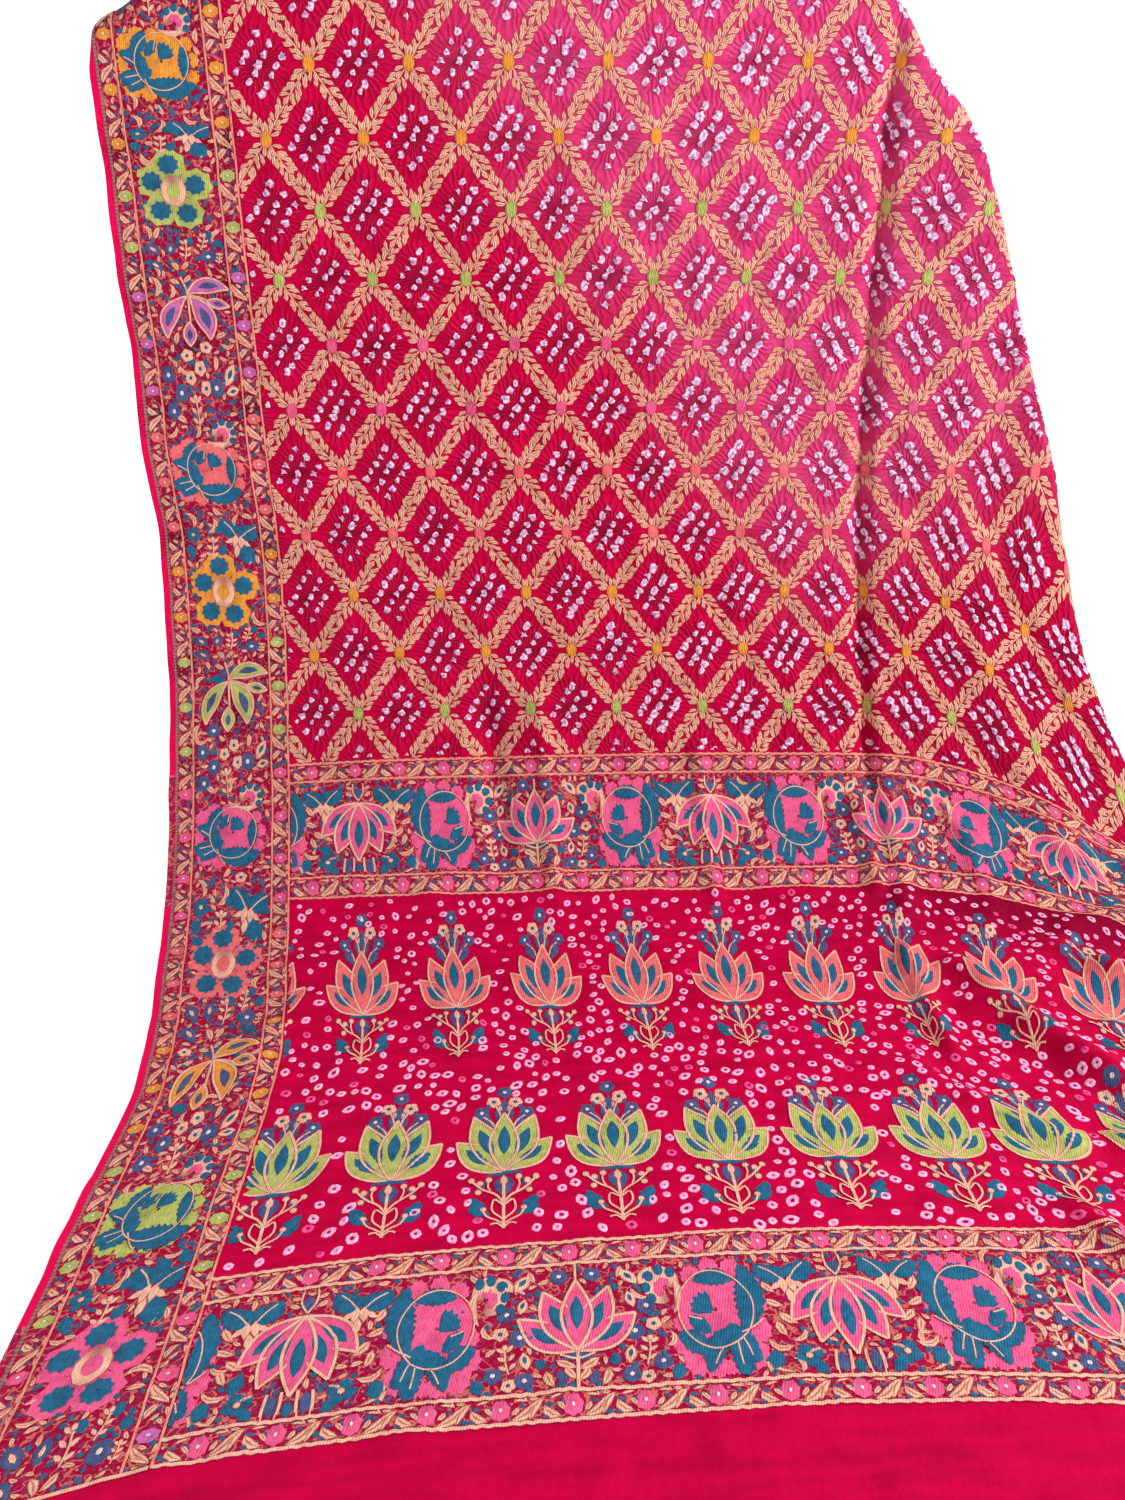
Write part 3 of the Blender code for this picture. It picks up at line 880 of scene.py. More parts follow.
@dataclass(frozen=True)
class SilkFinish:
    """The dyed ground: crimson that turns to magenta up on the right, partly dye and partly painted sheen,
    puckered and crinkled.
    """

    name: str = "dyed_silk_crinkled"
    crimson: Colour = dye(194, 0, 62)
    deep: Colour = dye(160, 0, 48)
    # magenta and bright: the colour up on the right, partly dye and partly painted sheen
    magenta: Colour = dye(214, 66, 124)
    bright: Colour = dye(194, 26, 90)
    # colour of the painted highlight on the ridges of the puckers
    ridge_highlight: Colour = dye(214, 66, 104)
    # colour of the painted shade under the upper border
    shaded: Colour = dye(96, 0, 34)
    woven: Colour = dye(158, 6, 54)
    slate: Colour = dye(96, 60, 96)
    tendril: Colour = dye(214, 130, 110)
    # Painted shade in the dip under the upper border: where it ends and begins down, and where it begins
    # across.
    hollow_shade: tuple[float, ...] = (0.685, 0.77, 0.56, 0.68, 0.45, 0.66)

    def material(self) -> bpy.types.Material:
        """Build the material: dye, painted sheen, shade and highlights, plain weave, crinkle and the puckers
        round the knots.
        """
        shade = Shade(self.name)
        flat, across, down = shade.coordinates("flat")
        cloud = shade.noise(flat, 14.0, detail=3.0)
        streak = shade.noise(flat, 60.0, (0.35, 1.6), 3.0)
        turn = across - down * 0.62 + cloud * 0.1 - 0.27
        # partly dye and partly painted sheen: the ground turns magenta up on the right
        sheen_and_dye_share = turn.ramp(-0.055, 0.12) * (down + across * 0.6).ramp(0.66, 0.84, 1.0, 0.0)
        base = shade.mix(streak.ramp(0.35, 0.7) * 0.6, self.crimson, self.deep)
        sheen_and_dye_colour = shade.mix(streak.ramp(0.3, 0.7) * 0.6, self.magenta, self.bright)
        colour = shade.mix(sheen_and_dye_share, base, sheen_and_dye_colour)
        # painted shade: darker under the upper border on the right
        hollow_shade = down.ramp(*self.hollow_shade[:2], 0.7, 0.0) * down.ramp(*self.hollow_shade[2:4], 0.3, 1.0)
        colour = shade.mix(hollow_shade * across.ramp(*self.hollow_shade[4:]), colour, self.shaded)
        edge = across.ramp(0.004, 0.012, 1.0, 0.0)
        colour = shade.mix(edge, colour, dye(224, 8, 80))
        pucker = self._pucker(shade)
        # painted highlight: lighter along the ridges of the puckers round the knots
        colour = shade.mix(pucker.ramp(0.15, 0.9, 0.0, 0.24), colour, self.ridge_highlight)
        colour = self._borders(shade, colour)
        weave = (across * 6200.0).sin() * (down * 6200.0).sin()
        crinkle = shade.noise(flat, 230.0, (1.0, 0.8), 4.0)
        shade.bump(pucker * 0.7 + crinkle * 0.6 + weave * 0.04, 0.0016, 0.8)
        shade.finish(colour, crinkle * 0.25 + 0.5, 0.03, self.magenta)
        return shade.material

    def _borders(self, shade: Shade, colour: Socket) -> Socket:
        """Weave slate floats and peach tendrils into the ground of the borders.

        Args:
            shade: The material.
            colour: Colour of the plain ground.

        Returns:
            A colour socket.
        """
        flat, across, down = shade.coordinates("flat")
        middle = Drape.width / 2
        side = (across - middle).abs().ramp(middle - SIDE_LINES[2], middle - SIDE_LINES[2] + 0.001)
        side = side * (across - middle).abs().ramp(middle - 0.006, middle - 0.005, 1.0, 0.0)
        inside = side * down.ramp(LOWER_BORDER[3] - 0.001, LOWER_BORDER[3], 1.0, 0.0)
        for lines in (UPPER_BORDER, LOWER_BORDER):
            centre, half = (lines[0] + lines[3]) / 2, (lines[3] - lines[0]) / 2
            inside = inside + (down - centre).abs().ramp(half - 0.001, half, 1.0, 0.0) * (side * -1 + 1.0)
        speck = shade.noise(flat, 330.0, (1.0, 1.4))
        woven = shade.mix(speck.ramp(0.52, 0.6), self.woven, self.slate)
        curls = (shade.noise(flat, 120.0) - 0.5).abs()
        woven = shade.mix(curls.ramp(0.016, 0.03, 0.75, 0.0), woven, self.tendril)
        return shade.mix(inside.ramp(0.0, 1.0, 0.0, 0.8), colour, woven)

    @staticmethod
    def _pucker(shade: Shade) -> Signal:
        """Give the height of the wrinkles that run out from the middle of each diamond, -1 to 1."""
        lattice = Lattice()
        flat, across, down = shade.coordinates("flat")
        x = (across - lattice.first_across) * (1 / PITCH)
        y = (down - lattice.first_down) * (1 / (2 * lattice.row_step))
        s, t = (x + y).fract() - 0.5, (x - y).fract() - 0.5
        right, below = (s + t) * 0.5, (s - t) * 0.7
        wobble = shade.noise(flat, 90.0)
        rays = (below.atan2(right) * 31.0 + wobble * 16.0).sin()
        reach = s.abs().ramp(0.1, 0.5, 1.0, 0.2) * t.abs().ramp(0.1, 0.5, 1.0, 0.2)
        field_only = down.ramp(FIELD_END - 0.01, FIELD_END + 0.01, 1.0, 0.0)
        return rays * reach * field_only


@dataclass(frozen=True)
class FloorFinish:
    """A plain pale floor."""

    name: str = "pale_floor"
    glow: float = 0.55

    def material(self) -> bpy.types.Material:
        """Build the material: near-white with the faintest mottling."""
        shade = Shade(self.name)
        cloud = shade.noise(add_node(shade.tree, "TexCoord", {}).outputs["Object"], 3.0)
        colour = shade.mix(cloud, dye(246, 245, 244), dye(240, 240, 240))
        shade.finish(colour, cloud * 0.1 + 0.75, 0.0, (1, 1, 1, 1))
        wire(shade.tree, shade.shader, {"Emission Color": (1, 1, 1, 1), "Emission Strength": self.glow})
        return shade.material


class Threads:
    """Makes each thread's material once and hands it out."""

    # after each thread's two colours: vein, the strength of the painted edge shade, and that shade's colour
    finishes: dict[Thread, ThreadFinish | TieFinish | SilkFinish] = {PEACH: ThreadFinish("peach_thread",
        dye(250, 202, 176), dye(220, 146, 124), 0.2, 0.7, dye(140, 50, 62)),
        LEAF: ThreadFinish("leaf_thread", dye(250, 198, 168), dye(214, 138, 116), 0.7, 0.9,
        dye(120, 40, 54)), TEAL: ThreadFinish("teal_thread", dye(44, 112, 146), dye(28, 78, 108)),
        SLATE: ThreadFinish("slate_thread", dye(84, 102, 142), dye(58, 60, 104)),
        ORANGE: ThreadFinish("orange_thread", dye(240, 164, 66), dye(204, 120, 50)),
        GREEN: ThreadFinish("green_thread", dye(196, 198, 112), dye(144, 152, 74)),
        PINK: ThreadFinish("pink_thread", dye(242, 104, 150), dye(212, 68, 116)),
        CORAL: ThreadFinish("coral_thread", dye(242, 122, 122), dye(214, 86, 96)),
        LILAC: ThreadFinish("lilac_thread", dye(214, 116, 182), dye(178, 82, 150)),
        IVORY: ThreadFinish("ivory_thread", dye(240, 226, 230), dye(206, 180, 190)),
        LINE: ThreadFinish("coral_line_thread", dye(244, 160, 138), dye(212, 104, 100)),
        TIE: TieFinish("tied_dot", dye(250, 220, 238), dye(156, 112, 166), dye(214, 60, 124)),
        RING: TieFinish("tied_ring", dye(250, 196, 222), dye(226, 134, 186), dye(226, 60, 120)),
        FAINT: TieFinish("faint_ring", dye(236, 100, 156), dye(210, 50, 116), dye(206, 20, 84)),
        ZARI: ThreadFinish("selvedge_thread", dye(176, 128, 112), dye(116, 84, 100)), SILK: SilkFinish()}

    def __init__(self) -> None:
        """Start with no material made."""
        self.made: dict[Thread, bpy.types.Material] = {}

    def material(self, thread: Thread) -> bpy.types.Material:
        """Give a thread's material."""
        if thread not in self.made:
            self.made[thread] = self.finishes[thread].material()
        return self.made[thread]


# ---- from flat work to draped pieces


class Loom:
    """Turns flat work into draped pieces of the scene."""

    def __init__(self, drape: Drape, threads: Threads) -> None:
        """Keep the drape and the threads that every piece shares."""
        self.drape, self.threads = drape, threads

    def piece(self, name: str, work: Work) -> Piece:
        """Drape flat work and dress it.

        Args:
            name: Name of the piece.
            work: The strokes, in mm on the flat cloth.

        Returns:
            The finished object.
        """
        across, down = work.points[:, 0] * MM, work.points[:, 1] * MM
        places = self.drape.place(across, down, work.points[:, 2])
        used = [Thread(int(value)) for value in np.unique(work.threads)]
        slots = {thread.value: i for i, thread in enumerate(used)}
        mesh = self._mesh(name, places, work.quads)
        index = np.vectorize(slots.__getitem__)(work.threads).astype(np.int32)
        mesh.polygons.foreach_set("material_index", index)
        mesh.polygons.foreach_set("use_smooth", np.ones(len(work.quads), bool))
        for thread in used:
            mesh.materials.append(self.threads.material(thread))
        flat = np.column_stack([across, down])
        self._uv(mesh, "flat", flat[work.quads.ravel()])
        self._uv(mesh, "grain", work.grain[work.quads.ravel()])
        self._bake_uv(mesh, flat[work.quads.ravel()], np.repeat(index, 4), len(used))
        piece = bpy.data.objects.new(name, mesh)
        bpy.context.scene.collection.objects.link(piece)
        LOG.info("%s: %d quads in %d threads", name, len(work.quads), len(used))
        return piece

    @staticmethod
    def _mesh(name: str, points: Array, quads: Array) -> bpy.types.Mesh:
        """Make a mesh of quads."""
        mesh = bpy.data.meshes.new(name)
        mesh.vertices.add(len(points))
        mesh.vertices.foreach_set("co", points.ravel())
        mesh.loops.add(quads.size)
        mesh.loops.foreach_set("vertex_index", quads.ravel().astype(np.int32))
        mesh.polygons.add(len(quads))
        mesh.polygons.foreach_set("loop_start", np.arange(0, quads.size, 4, dtype=np.int32))
        mesh.update(calc_edges=True)
        return mesh

    @staticmethod
    def _uv(mesh: bpy.types.Mesh, name: str, values: Array) -> None:
        """Add a UV map from one row for each corner."""
        mesh.uv_layers.new(name=name).data.foreach_set("uv", values.ravel())

    def _bake_uv(self, mesh: bpy.types.Mesh, flat: Array, index: Array, count: int) -> None:
        """Add the map for baking: the flat cloth once for each thread, side by side.

        Args:
            mesh: The mesh.
            flat: Across and down of each corner.
            index: The material slot of each corner.
            count: Number of slots.
        """
        low, high = flat.min(axis=0), flat.max(axis=0)
        share = 0.01 + 0.98 * (flat - low) / (high - low)
        columns = math.ceil(math.sqrt(count))
        rows = math.ceil(count / columns)
        cell = np.column_stack([index % columns, index // columns])
        self._uv(mesh, "OFBake", (cell + share) / (columns, rows))


@dataclass
class Ground:
    """The dyed silk itself: one open sheet, fine enough for its creases and its round fold."""

    loom: Loom
    lip_rows: int = 8
    crest_rows: int = 16
    hang_start: float = 0.17
    hang_rows: int = 42
    lower_rows: int = 264
    body_columns: int = 130
    crease_columns: int = 24
    crease_half: float = 0.024
    right_columns: int = 130
    bend_crowding: float = 1.6
    bend_reach: float = 0.018

    def _columns(self, fold: float) -> Array:
        """Give the distances across of all columns where the fold line is at a place."""
        drape = self.loom.drape
        body = np.linspace(0, drape.half - self.crease_half, self.body_columns + 1)
        crease = np.linspace(-self.crease_half, self.crease_half, self.crease_columns + 1)
        sample = np.linspace(drape.half + self.crease_half, drape.width, 800)
        crowd = np.exp(-(((sample - fold - 0.01) / self.bend_reach) ** 2))
        total = np.concatenate([[0], np.cumsum(1 + self.bend_crowding * crowd)[:-1]])
        right = np.interp(np.linspace(0, total[-1], self.right_columns + 1), total, sample)
        return np.concatenate([body, drape.half + crease[1:], right[1:]])

    def _grid(self) -> tuple[Array, Array]:
        """Lay out the grid: rows follow the crest's dip, columns follow crease and fold."""
        drape, crest = self.loom.drape, self.loom.drape.crest
        near = self._columns(float(drape.fold_line(0.05)))
        dips = curve(drape.crest_dip, np.minimum(near, drape.fold_line(0.05)))
        counts = (self.lip_rows, self.crest_rows, self.hang_rows, self.lower_rows)
        stops = np.stack([np.full_like(dips, crest.top), dips - crest.drop - crest.arc, dips - crest.drop,
            np.full_like(dips, self.hang_start), np.full_like(dips, drape.length)])
        down = [stops[:1]]
        for start, end, count in zip(stops, stops[1:], counts):
            share = (np.arange(1, count + 1) / count)[:, None]
            down.append(start + (end - start) * share)
        down = np.concatenate(down)
        folds = np.linspace(drape.fold_line(crest.top), drape.fold_line(drape.length), 240)
        table = np.array([self._columns(fold) for fold in folds])
        place = (drape.fold_line(down) - folds[0]) / (folds[1] - folds[0])
        k = np.clip(place.astype(int), 0, len(folds) - 2)
        column = np.arange(down.shape[1])[None, :]
        across = table[k, column] + (place - k) * (table[k + 1, column] - table[k, column])
        return across, down

    def build(self) -> Piece:
        """Weave the ground, the sheet that stands in for the plain solid.

        Returns:
            The sheet.
        """
        across, down = self._grid()
        pen = Pen()
        xy = np.stack([across, down], -1) / MM
        share = np.zeros(across.shape + (2,))
        pen.grid(SILK, xy, np.zeros_like(across), share, closed=False)
        return self.loom.piece("saree_ground", pen.work())


@dataclass(frozen=True)
class Lattice:
    """The diamonds of the field: where they are and what colour each band is."""

    first_across: float = 0.57 + 0.07 * PITCH
    first_down: float = 0.53 * PITCH
    row_step: float = 0.7 * PITCH
    bands: tuple[Thread, ...] = (ORANGE, GREEN, PINK, CORAL)
    rows: tuple[int, int] = (-2, 11)

    def band(self, row: int) -> Thread:
        """Give the band colour of a row of nodes."""
        return self.bands[(row // 2) % len(self.bands)]

    def nodes(self) -> list[tuple[int, float, float]]:
        """List row number, across and down of every node."""
        return [(row, self.first_across + (k + 0.5 * (row % 2)) * PITCH,
            self.first_down + row * self.row_step) for row in range(self.rows[0],
            self.rows[1] + 1) for k in range(-8, 9)]


@dataclass
class Field:
    """The dotted field: garland lattice, coloured knots of thread, and tied dots."""

    loom: Loom
    chance: Chance
    lattice: Lattice = Lattice()
    leaf_length: float = 8.6
    leaf_width: float = 3.8
    leaf_step: float = 4.9
    leaf_groups: int = 5  # from each end of a garland to its middle
    garland_kinds: int = 5
    dots_each_way: tuple[int, int] = (3, 5)
    dot_kinds: int = 6
    dot_stray: float = 0.6  # mm, by which hand-tied dots miss their lines

    def _window(self, work: Work, margin: float = 0.0) -> Work:
        """Trim work to the field between the borders."""
        drape, left = self.loom.drape, INNER_LINE + margin
        right, top = drape.width / MM - left, drape.crest.top / MM + 1
        return work.inside(Window(left, right, top, FIELD_END / MM + 1 - margin))

    def _garland(self) -> Work:
        """Draw one ragged garland along its own axis, from the upper node to the lower one.

        Returns:
            The work.
        """
        pen, chance = Pen(), self.chance
        run = math.hypot(0.5 * PITCH, self.lattice.row_step) / MM
        pen.cord(PEACH, ((4, 0), (run / 2, 0.8), (run - 5, 0)), 1.0)
        ends = (5.0, self.leaf_step), (run - 4.6, -self.leaf_step)
        for (start, step), i in product(ends, range(self.leaf_groups)):
            for side, angle, reach in ((-1, 42, 1.0), (1, 42, 1.0), (1 - 2 * (i % 2), 12, 0.8)):
                at = start + i * step + chance.normal(0, 0.5) + (0 if angle > 20 else 0.4 * step)
                turn = math.radians(side * (angle + chance.normal(0, 6)))
                reach *= self.leaf_length * chance.uniform(0.85, 1.15)
                tip = at + math.copysign(reach * math.cos(turn), step), reach * math.sin(turn)
                bend = math.copysign(0.1, step * side)
                width = self.leaf_width * chance.uniform(0.85, 1.1)
                pen.blade(LEAF, (at, 0.6 * side), tip, width, bend, 0.6, 1 - i % 2, 0.5, 0.3)
        return pen.work()

    def garlands(self) -> Piece:
        """Weave the lattice of garlands.

        Returns:
            The garlands.
        """
        run = math.degrees(math.atan2(self.lattice.row_step, 0.5 * PITCH))
        places = [Place(across / MM, down / MM, angle) for _, across,
            down in self.lattice.nodes() for angle in (run, 180 - run)]
        kinds = self.garland_kinds
        drawn = [self._garland().stamp(places[kind::kinds]) for kind in range(kinds)]
        return self.loom.piece("lattice_garlands", self._window(Work.join(drawn)))

    def knots(self) -> Piece:
        """Weave the coloured knot at each node of the lattice."""
        pen = Pen()
        pen.dot(MEENA, (0, 0), 4.3, 5.8, layer=2, peak=0.5, sides=12)
        for x, reach in ((-2.5, 4.5), (0, 6.3), (2.5, 4.5)):
            pen.blade(MEENA, (x, -reach), (x, reach), 2.4, 0.02 * x, 0.5, 4, 0.4)
        places = [Place(across / MM, down / MM, meena=self.lattice.band(row)) for row, across,
            down in self.lattice.nodes()]
        return self.loom.piece("lattice_knots", self._window(pen.work().stamp(places), 1.0))

    def dots(self) -> Piece:
        """Tie the slanting rows of dots in every diamond.

        Returns:
            The dots.
        """
        places: list[list[Place]] = [[] for _ in range(self.dot_kinds)]
        chance, (lines, each) = self.chance, self.dots_each_way
        for _, across, down in self.lattice.nodes():
            side = -1 if across > self.loom.drape.half - 0.5 * PITCH else 1
            for line, i in product(range(lines), range(each)):
                j, k = line - (lines - 1) / 2, i - (each - 1) / 2
                x = side * (8.2 * j - 4.1 * k) + chance.normal(0, self.dot_stray)
                y = 7.1 * j + 6.2 * k + chance.normal(0, self.dot_stray)
                size = chance.uniform(0.8, 1.2) * (0.8 + 0.2 * float(smoothstep(0.2, 0.45, across)))
                turn = side * 32 + chance.uniform(-35, 35)
                place = Place(across / MM + x, (down + self.lattice.row_step) / MM + y, turn, size)
                places[chance.integers(self.dot_kinds)].append(place)
        drawn = [self._dot().stamp(kind) for kind in places]
        return self.loom.piece("field_dots", self._window(Work.join(drawn), 2.0))

    def _dot(self) -> Work:
        """Tie one uneven dot: a puckered patch with two small peaks."""
        pen = Pen()
        pen.dot(TIE, (0, 0), 3.3, 3.6, layer=0, peak=0.6, sides=10)
        pen.dot(TIE, (-1.0, 1.4), 1.3, 1.2, layer=1, peak=0.4, sides=5)
        pen.dot(TIE, (1.0, -1.4), 1.2, 1.3, layer=1, peak=0.4, sides=5)
        work = pen.work()
        work.points[:, :2] *= self.chance.uniform(0.45, 1.35, (len(work.points), 1))
        work.points[:, 2] += self.chance.uniform(0, 0.3 * MM, len(work.points))
        return work

    def build(self) -> list[Piece]:
        """Weave and tie the whole field."""
        return [self.garlands(), self.knots(), self.dots()]


# ---- motifs


@dataclass(frozen=True)
class LotusPetals:
    """A lotus seen from the side: one middle petal and two pairs of side petals."""

    height: float
    width: float
    upper: tuple[float, float] = (23, 52.8)  # angle from the middle petal, length
    lower: tuple[float, float] = (49, 41.5)

    def draw(self, pen: Pen, fill: Thread, foot: Point, down: bool = False) -> None:
        """Draw the petals.

        Args:
            pen: The pen.
            fill: Thread of the petals.
            foot: Where they all begin, in mm.
            down: Whether they hang instead of standing up.
        """
        sign = 1 if down else -1
        for (angle, reach), bend, layer in ((self.lower, 0.03, 0), (self.upper, 0.02, 1)):
            for side in (-1, 1):
                turn = math.radians(angle)
                tip = (foot[0] + side * reach * math.sin(turn), foot[1] + sign * reach * math.cos(turn))
                pen.petal(fill, foot, tip, 1.06 * self.width, -bend * side * sign, 0.5, layer)
        pen.petal(fill, foot, (foot[0], foot[1] + sign * self.height), self.width, 0, 0.48, 2)


class Ornament(Enum):
    """The small things that stand between the main motifs."""

    STAR = "slate flower"
    TEAL_STAR = "teal flower"
    BLOSSOM = "peach flower"
    EYED_LEAF = "peach leaf with a teal heart"
    HEART_LEAF = "slate leaf with a peach heart"
    PEACH_LEAF = "peach leaf"
    SLATE_LEAF = "slate leaf"
    TEAL_LEAF = "toothed teal leaf"
    BEAD = "teal bead"
    SPOT = "coral spot"
    SPRIG = "peach sprig"
    CURL = "peach curl"
    WINGS = "pair of teal leaves on a peach bud"
    COMB = "peach crescent with teal beads"


STAR, TEAL_STAR, BLOSSOM, EYED_LEAF, HEART_LEAF, PEACH_LEAF, SLATE_LEAF = list(Ornament)[:7]
TEAL_LEAF, BEAD, SPOT, SPRIG, CURL, WINGS, COMB = list(Ornament)[7:]
Row = tuple[Ornament | float, ...]  # ornament, x, y, and angle and size unless 0 and 1


class OrnamentBook:
    """Draws each small ornament once, growing up from its foot, and sets it in place."""

    def __init__(self) -> None:
        """Draw every ornament."""
        self.drawn = {kind: self._draw(kind) for kind in Ornament}

    def _draw(self, kind: Ornament) -> Work:
        """Draw one ornament at its natural size."""
        pen = Pen()
        # thread, length, width, bend, widest at, teeth
        leaves = {EYED_LEAF: (PEACH, 14, 8.4, 0, 0.5, 0), HEART_LEAF: (SLATE, 15, 10, 0, 0.55, 0),
            PEACH_LEAF: (LEAF, 9, 4.6, 0.08, 0.55, 0), SLATE_LEAF: (SLATE, 8, 4.2, 0.05, 0.5, 0),
            TEAL_LEAF: (TEAL, 12, 8.4, 0.05, 0.6, 3), CURL: (LEAF, 14, 4.8, 0.3, 0.45, 0)}
        hearts = {EYED_LEAF: (TEAL, 3.2), HEART_LEAF: (PEACH, 3.4)}
        # thread, reach, petals, eye
        stars = {STAR: (SLATE, 5.6, 5, IVORY), TEAL_STAR: (TEAL, 6.6, 4, PEACH),
            BLOSSOM: (PEACH, 4.8, 5, TEAL)}
        if kind in leaves:
            thread, length, width, bend, full, teeth = leaves[kind]
            pen.blade(thread, (0, 0), (0, -length), width, bend, full, 0, 0.28, 0.25, teeth)
        if kind in hearts:
            thread, width = hearts[kind]
            pen.blade(thread, (0, -4.4), (0, -10.8), width, layer=2)
        if kind in stars:
            self._star(pen, *stars[kind])
        if kind in (BEAD, SPOT):
            thread, size = (TEAL, 2.6) if kind is BEAD else (CORAL, 1.3)
            pen.dot(thread, (0, 0), size, 1.15 * size, sides=8 if kind is BEAD else 6)
        if kind is SPRIG:
            self._sprig(pen, 18, 3, 6)
        if kind is WINGS:
            self._wings(pen)
        if kind is COMB:
            self._comb(pen)
        return pen.work()

    @staticmethod
    def _star(pen: Pen, thread: Thread, reach: float, petals: int, eye: Thread) -> None:
        """Draw a small flower with an eye."""
        for i in range(petals):
            turn = 2 * math.pi * (i + 0.25) / petals
            cos, sin = math.cos(turn), math.sin(turn)
            start, end = (0.12 * reach * cos, 0.12 * reach * sin), (reach * cos, reach * sin)
            pen.blade(thread, start, end, 1.05 * reach, full=0.6, blunt=0.8)
        pen.dot(eye, (0, 0), 0.27 * reach, layer=2, peak=0.25, sides=6)

    @staticmethod
    def _sprig(pen: Pen, height: float, pairs: int, leaf: float) -> None:
        """Draw a stem with pairs of small leaves and a bud."""
        pen.cord(PEACH, ((0, 0), (0.8, -height / 2), (0, -height)), 1.2)
        for i in range(pairs):
            y = -height * (i + 0.5) / pairs
            for side in (-1, 1):
                tip = (0.78 * leaf * side, y - 0.62 * leaf)
                pen.blade(PEACH, (0.5 * side, y), tip, 0.52 * leaf)
        pen.dot(PEACH, (0, -height), 1.8, 2.2, layer=1)

    @staticmethod
    def _wings(pen: Pen) -> None:
        """Draw a pair of teal leaves that spread from a peach bud."""
        pen.blades(((TEAL, (1.5, -2), (13, -15), 12, 0.06, 0.55, 0, 0.3, 0.4, 4),
            (TEAL, (1, -4), (4, -13), 7, 0, 0.5, 0, 0.3, 0.3), (PEACH, (1.6, -5), (2.6, 5), 5.4, 0, 0.4, 1),
            (PEACH, (3.5, -2), (9, 2), 4, 0.1, 0.4, 1)))
        pen.cords(((0.9, 2, (2, -4), (6, -9), (11, -13)),))
        pen.blade(PEACH, (0, 2), (0, 12), 5, 0, 0.5, 1)

    @staticmethod
    def _comb(pen: Pen) -> None:
        """Draw a peach crescent with five teal beads round a coloured middle."""
        pen.fan(PEACH, (2, -10), -60, 300, 11.5, 0.25, 8, 0, 0.05)
        pen.blade(PEACH, (3, 6), (-5, -12), 6.5, -0.2, 0.5, 0)
        pen.fan(MEENA, (2, -9), -50, 230, 6.5, 0.1, 5, 1, 0.1)
        for i in range(5):
            turn = math.radians(-145 + 42 * i)
            at = (2.5 + 9.6 * math.cos(turn), -10 + 9.6 * math.sin(turn))
            pen.dot(TEAL, at, 2.9, 3.1, layer=2, peak=0.3)

    def arrange(self, rows: Iterable[Row], both_sides: bool = False) -> list[Work]:
        """Set ornaments in their places.

        Args:
            rows: Ornament, place of its foot, and its angle from upright and its size.
            both_sides: Whether each also stands mirrored on the other side of x = 0.

        Returns:
            The work of every row.
        """
        work = []
        for row in rows:
            kind, x, y, angle, size = (*row, *(0, 1)[len(row) - 3 :])
            places = [Place(x, y, angle, size)]
            if both_sides:
                places.append(Place(-x, y, -angle, size, True))
            work.append(self.drawn[kind].stamp(places))
        return work


@dataclass(frozen=True)
class Sower:
    """Fills what is left bare of a band with small ornaments, the largest that fit first."""

    book: OrnamentBook
    chance: Chance
    # free radius, half height, size, ornaments
    choices: tuple[tuple[float, float, float, tuple[Ornament, ...]],
        ...] = ((6.6, 0, 1.05, (STAR, TEAL_STAR, BLOSSOM)),
        (4.5, 4.8, 1.1, (PEACH_LEAF, CURL, PEACH_LEAF, SLATE_LEAF, TEAL_LEAF)),
        (3.1, 3.2, 0.8, (PEACH_LEAF, PEACH_LEAF, CURL, SLATE_LEAF)),
        (2.2, 2.4, 0.62, (PEACH_LEAF, PEACH_LEAF, SLATE_LEAF)), (1.5, 0, 0.62, (SPOT, BEAD)))
    tries_each_square: float = 0.075  # for each square mm

    def fill(self, work: Work, window: Window) -> Work:
        """Sow the bare ground of a window.

        Args:
            work: What already lies there.
            window: The band to fill.

        Returns:
            What was there and what was sown.
        """
        taken = np.concatenate([work.points[:, :2], work.points[work.quads, :2].mean(axis=1)])
        wide, high = window.right - window.left, window.bottom - window.top
        tries = int(wide * high * self.tries_each_square)
        reach = self.choices[0][0]
        sown = [work]
        for x, y, turn, pick in self.chance.random((tries, 4)):
            x, y, angle = window.left + x * wide, window.top + y * high, 360 * turn
            near = taken[np.abs(taken[:, 1] - y) < reach]
            free = float(np.hypot(near[:, 0] - x, near[:, 1] - y).min()) if len(near) else reach
            free = min(free, window.room(x, y) + 0.3)
            for radius, half, size, kinds in self.choices:
                if free >= radius:
                    way = math.radians(angle)
                    foot = (x - half * math.sin(way), y + half * math.cos(way))
                    kind = kinds[int(pick * len(kinds))]
                    grown = self.book.drawn[kind].stamp([Place(*foot, angle, size)])
                    taken = np.concatenate([taken, grown.points[:, :2]])
                    sown.append(grown)
                    break
        return Work.join(sown)


class Motif(Enum):
    """The main motifs of the borders."""

    PEONY = "peony"
    ROSETTE = "rosette"
    LOTUS = "lotus"


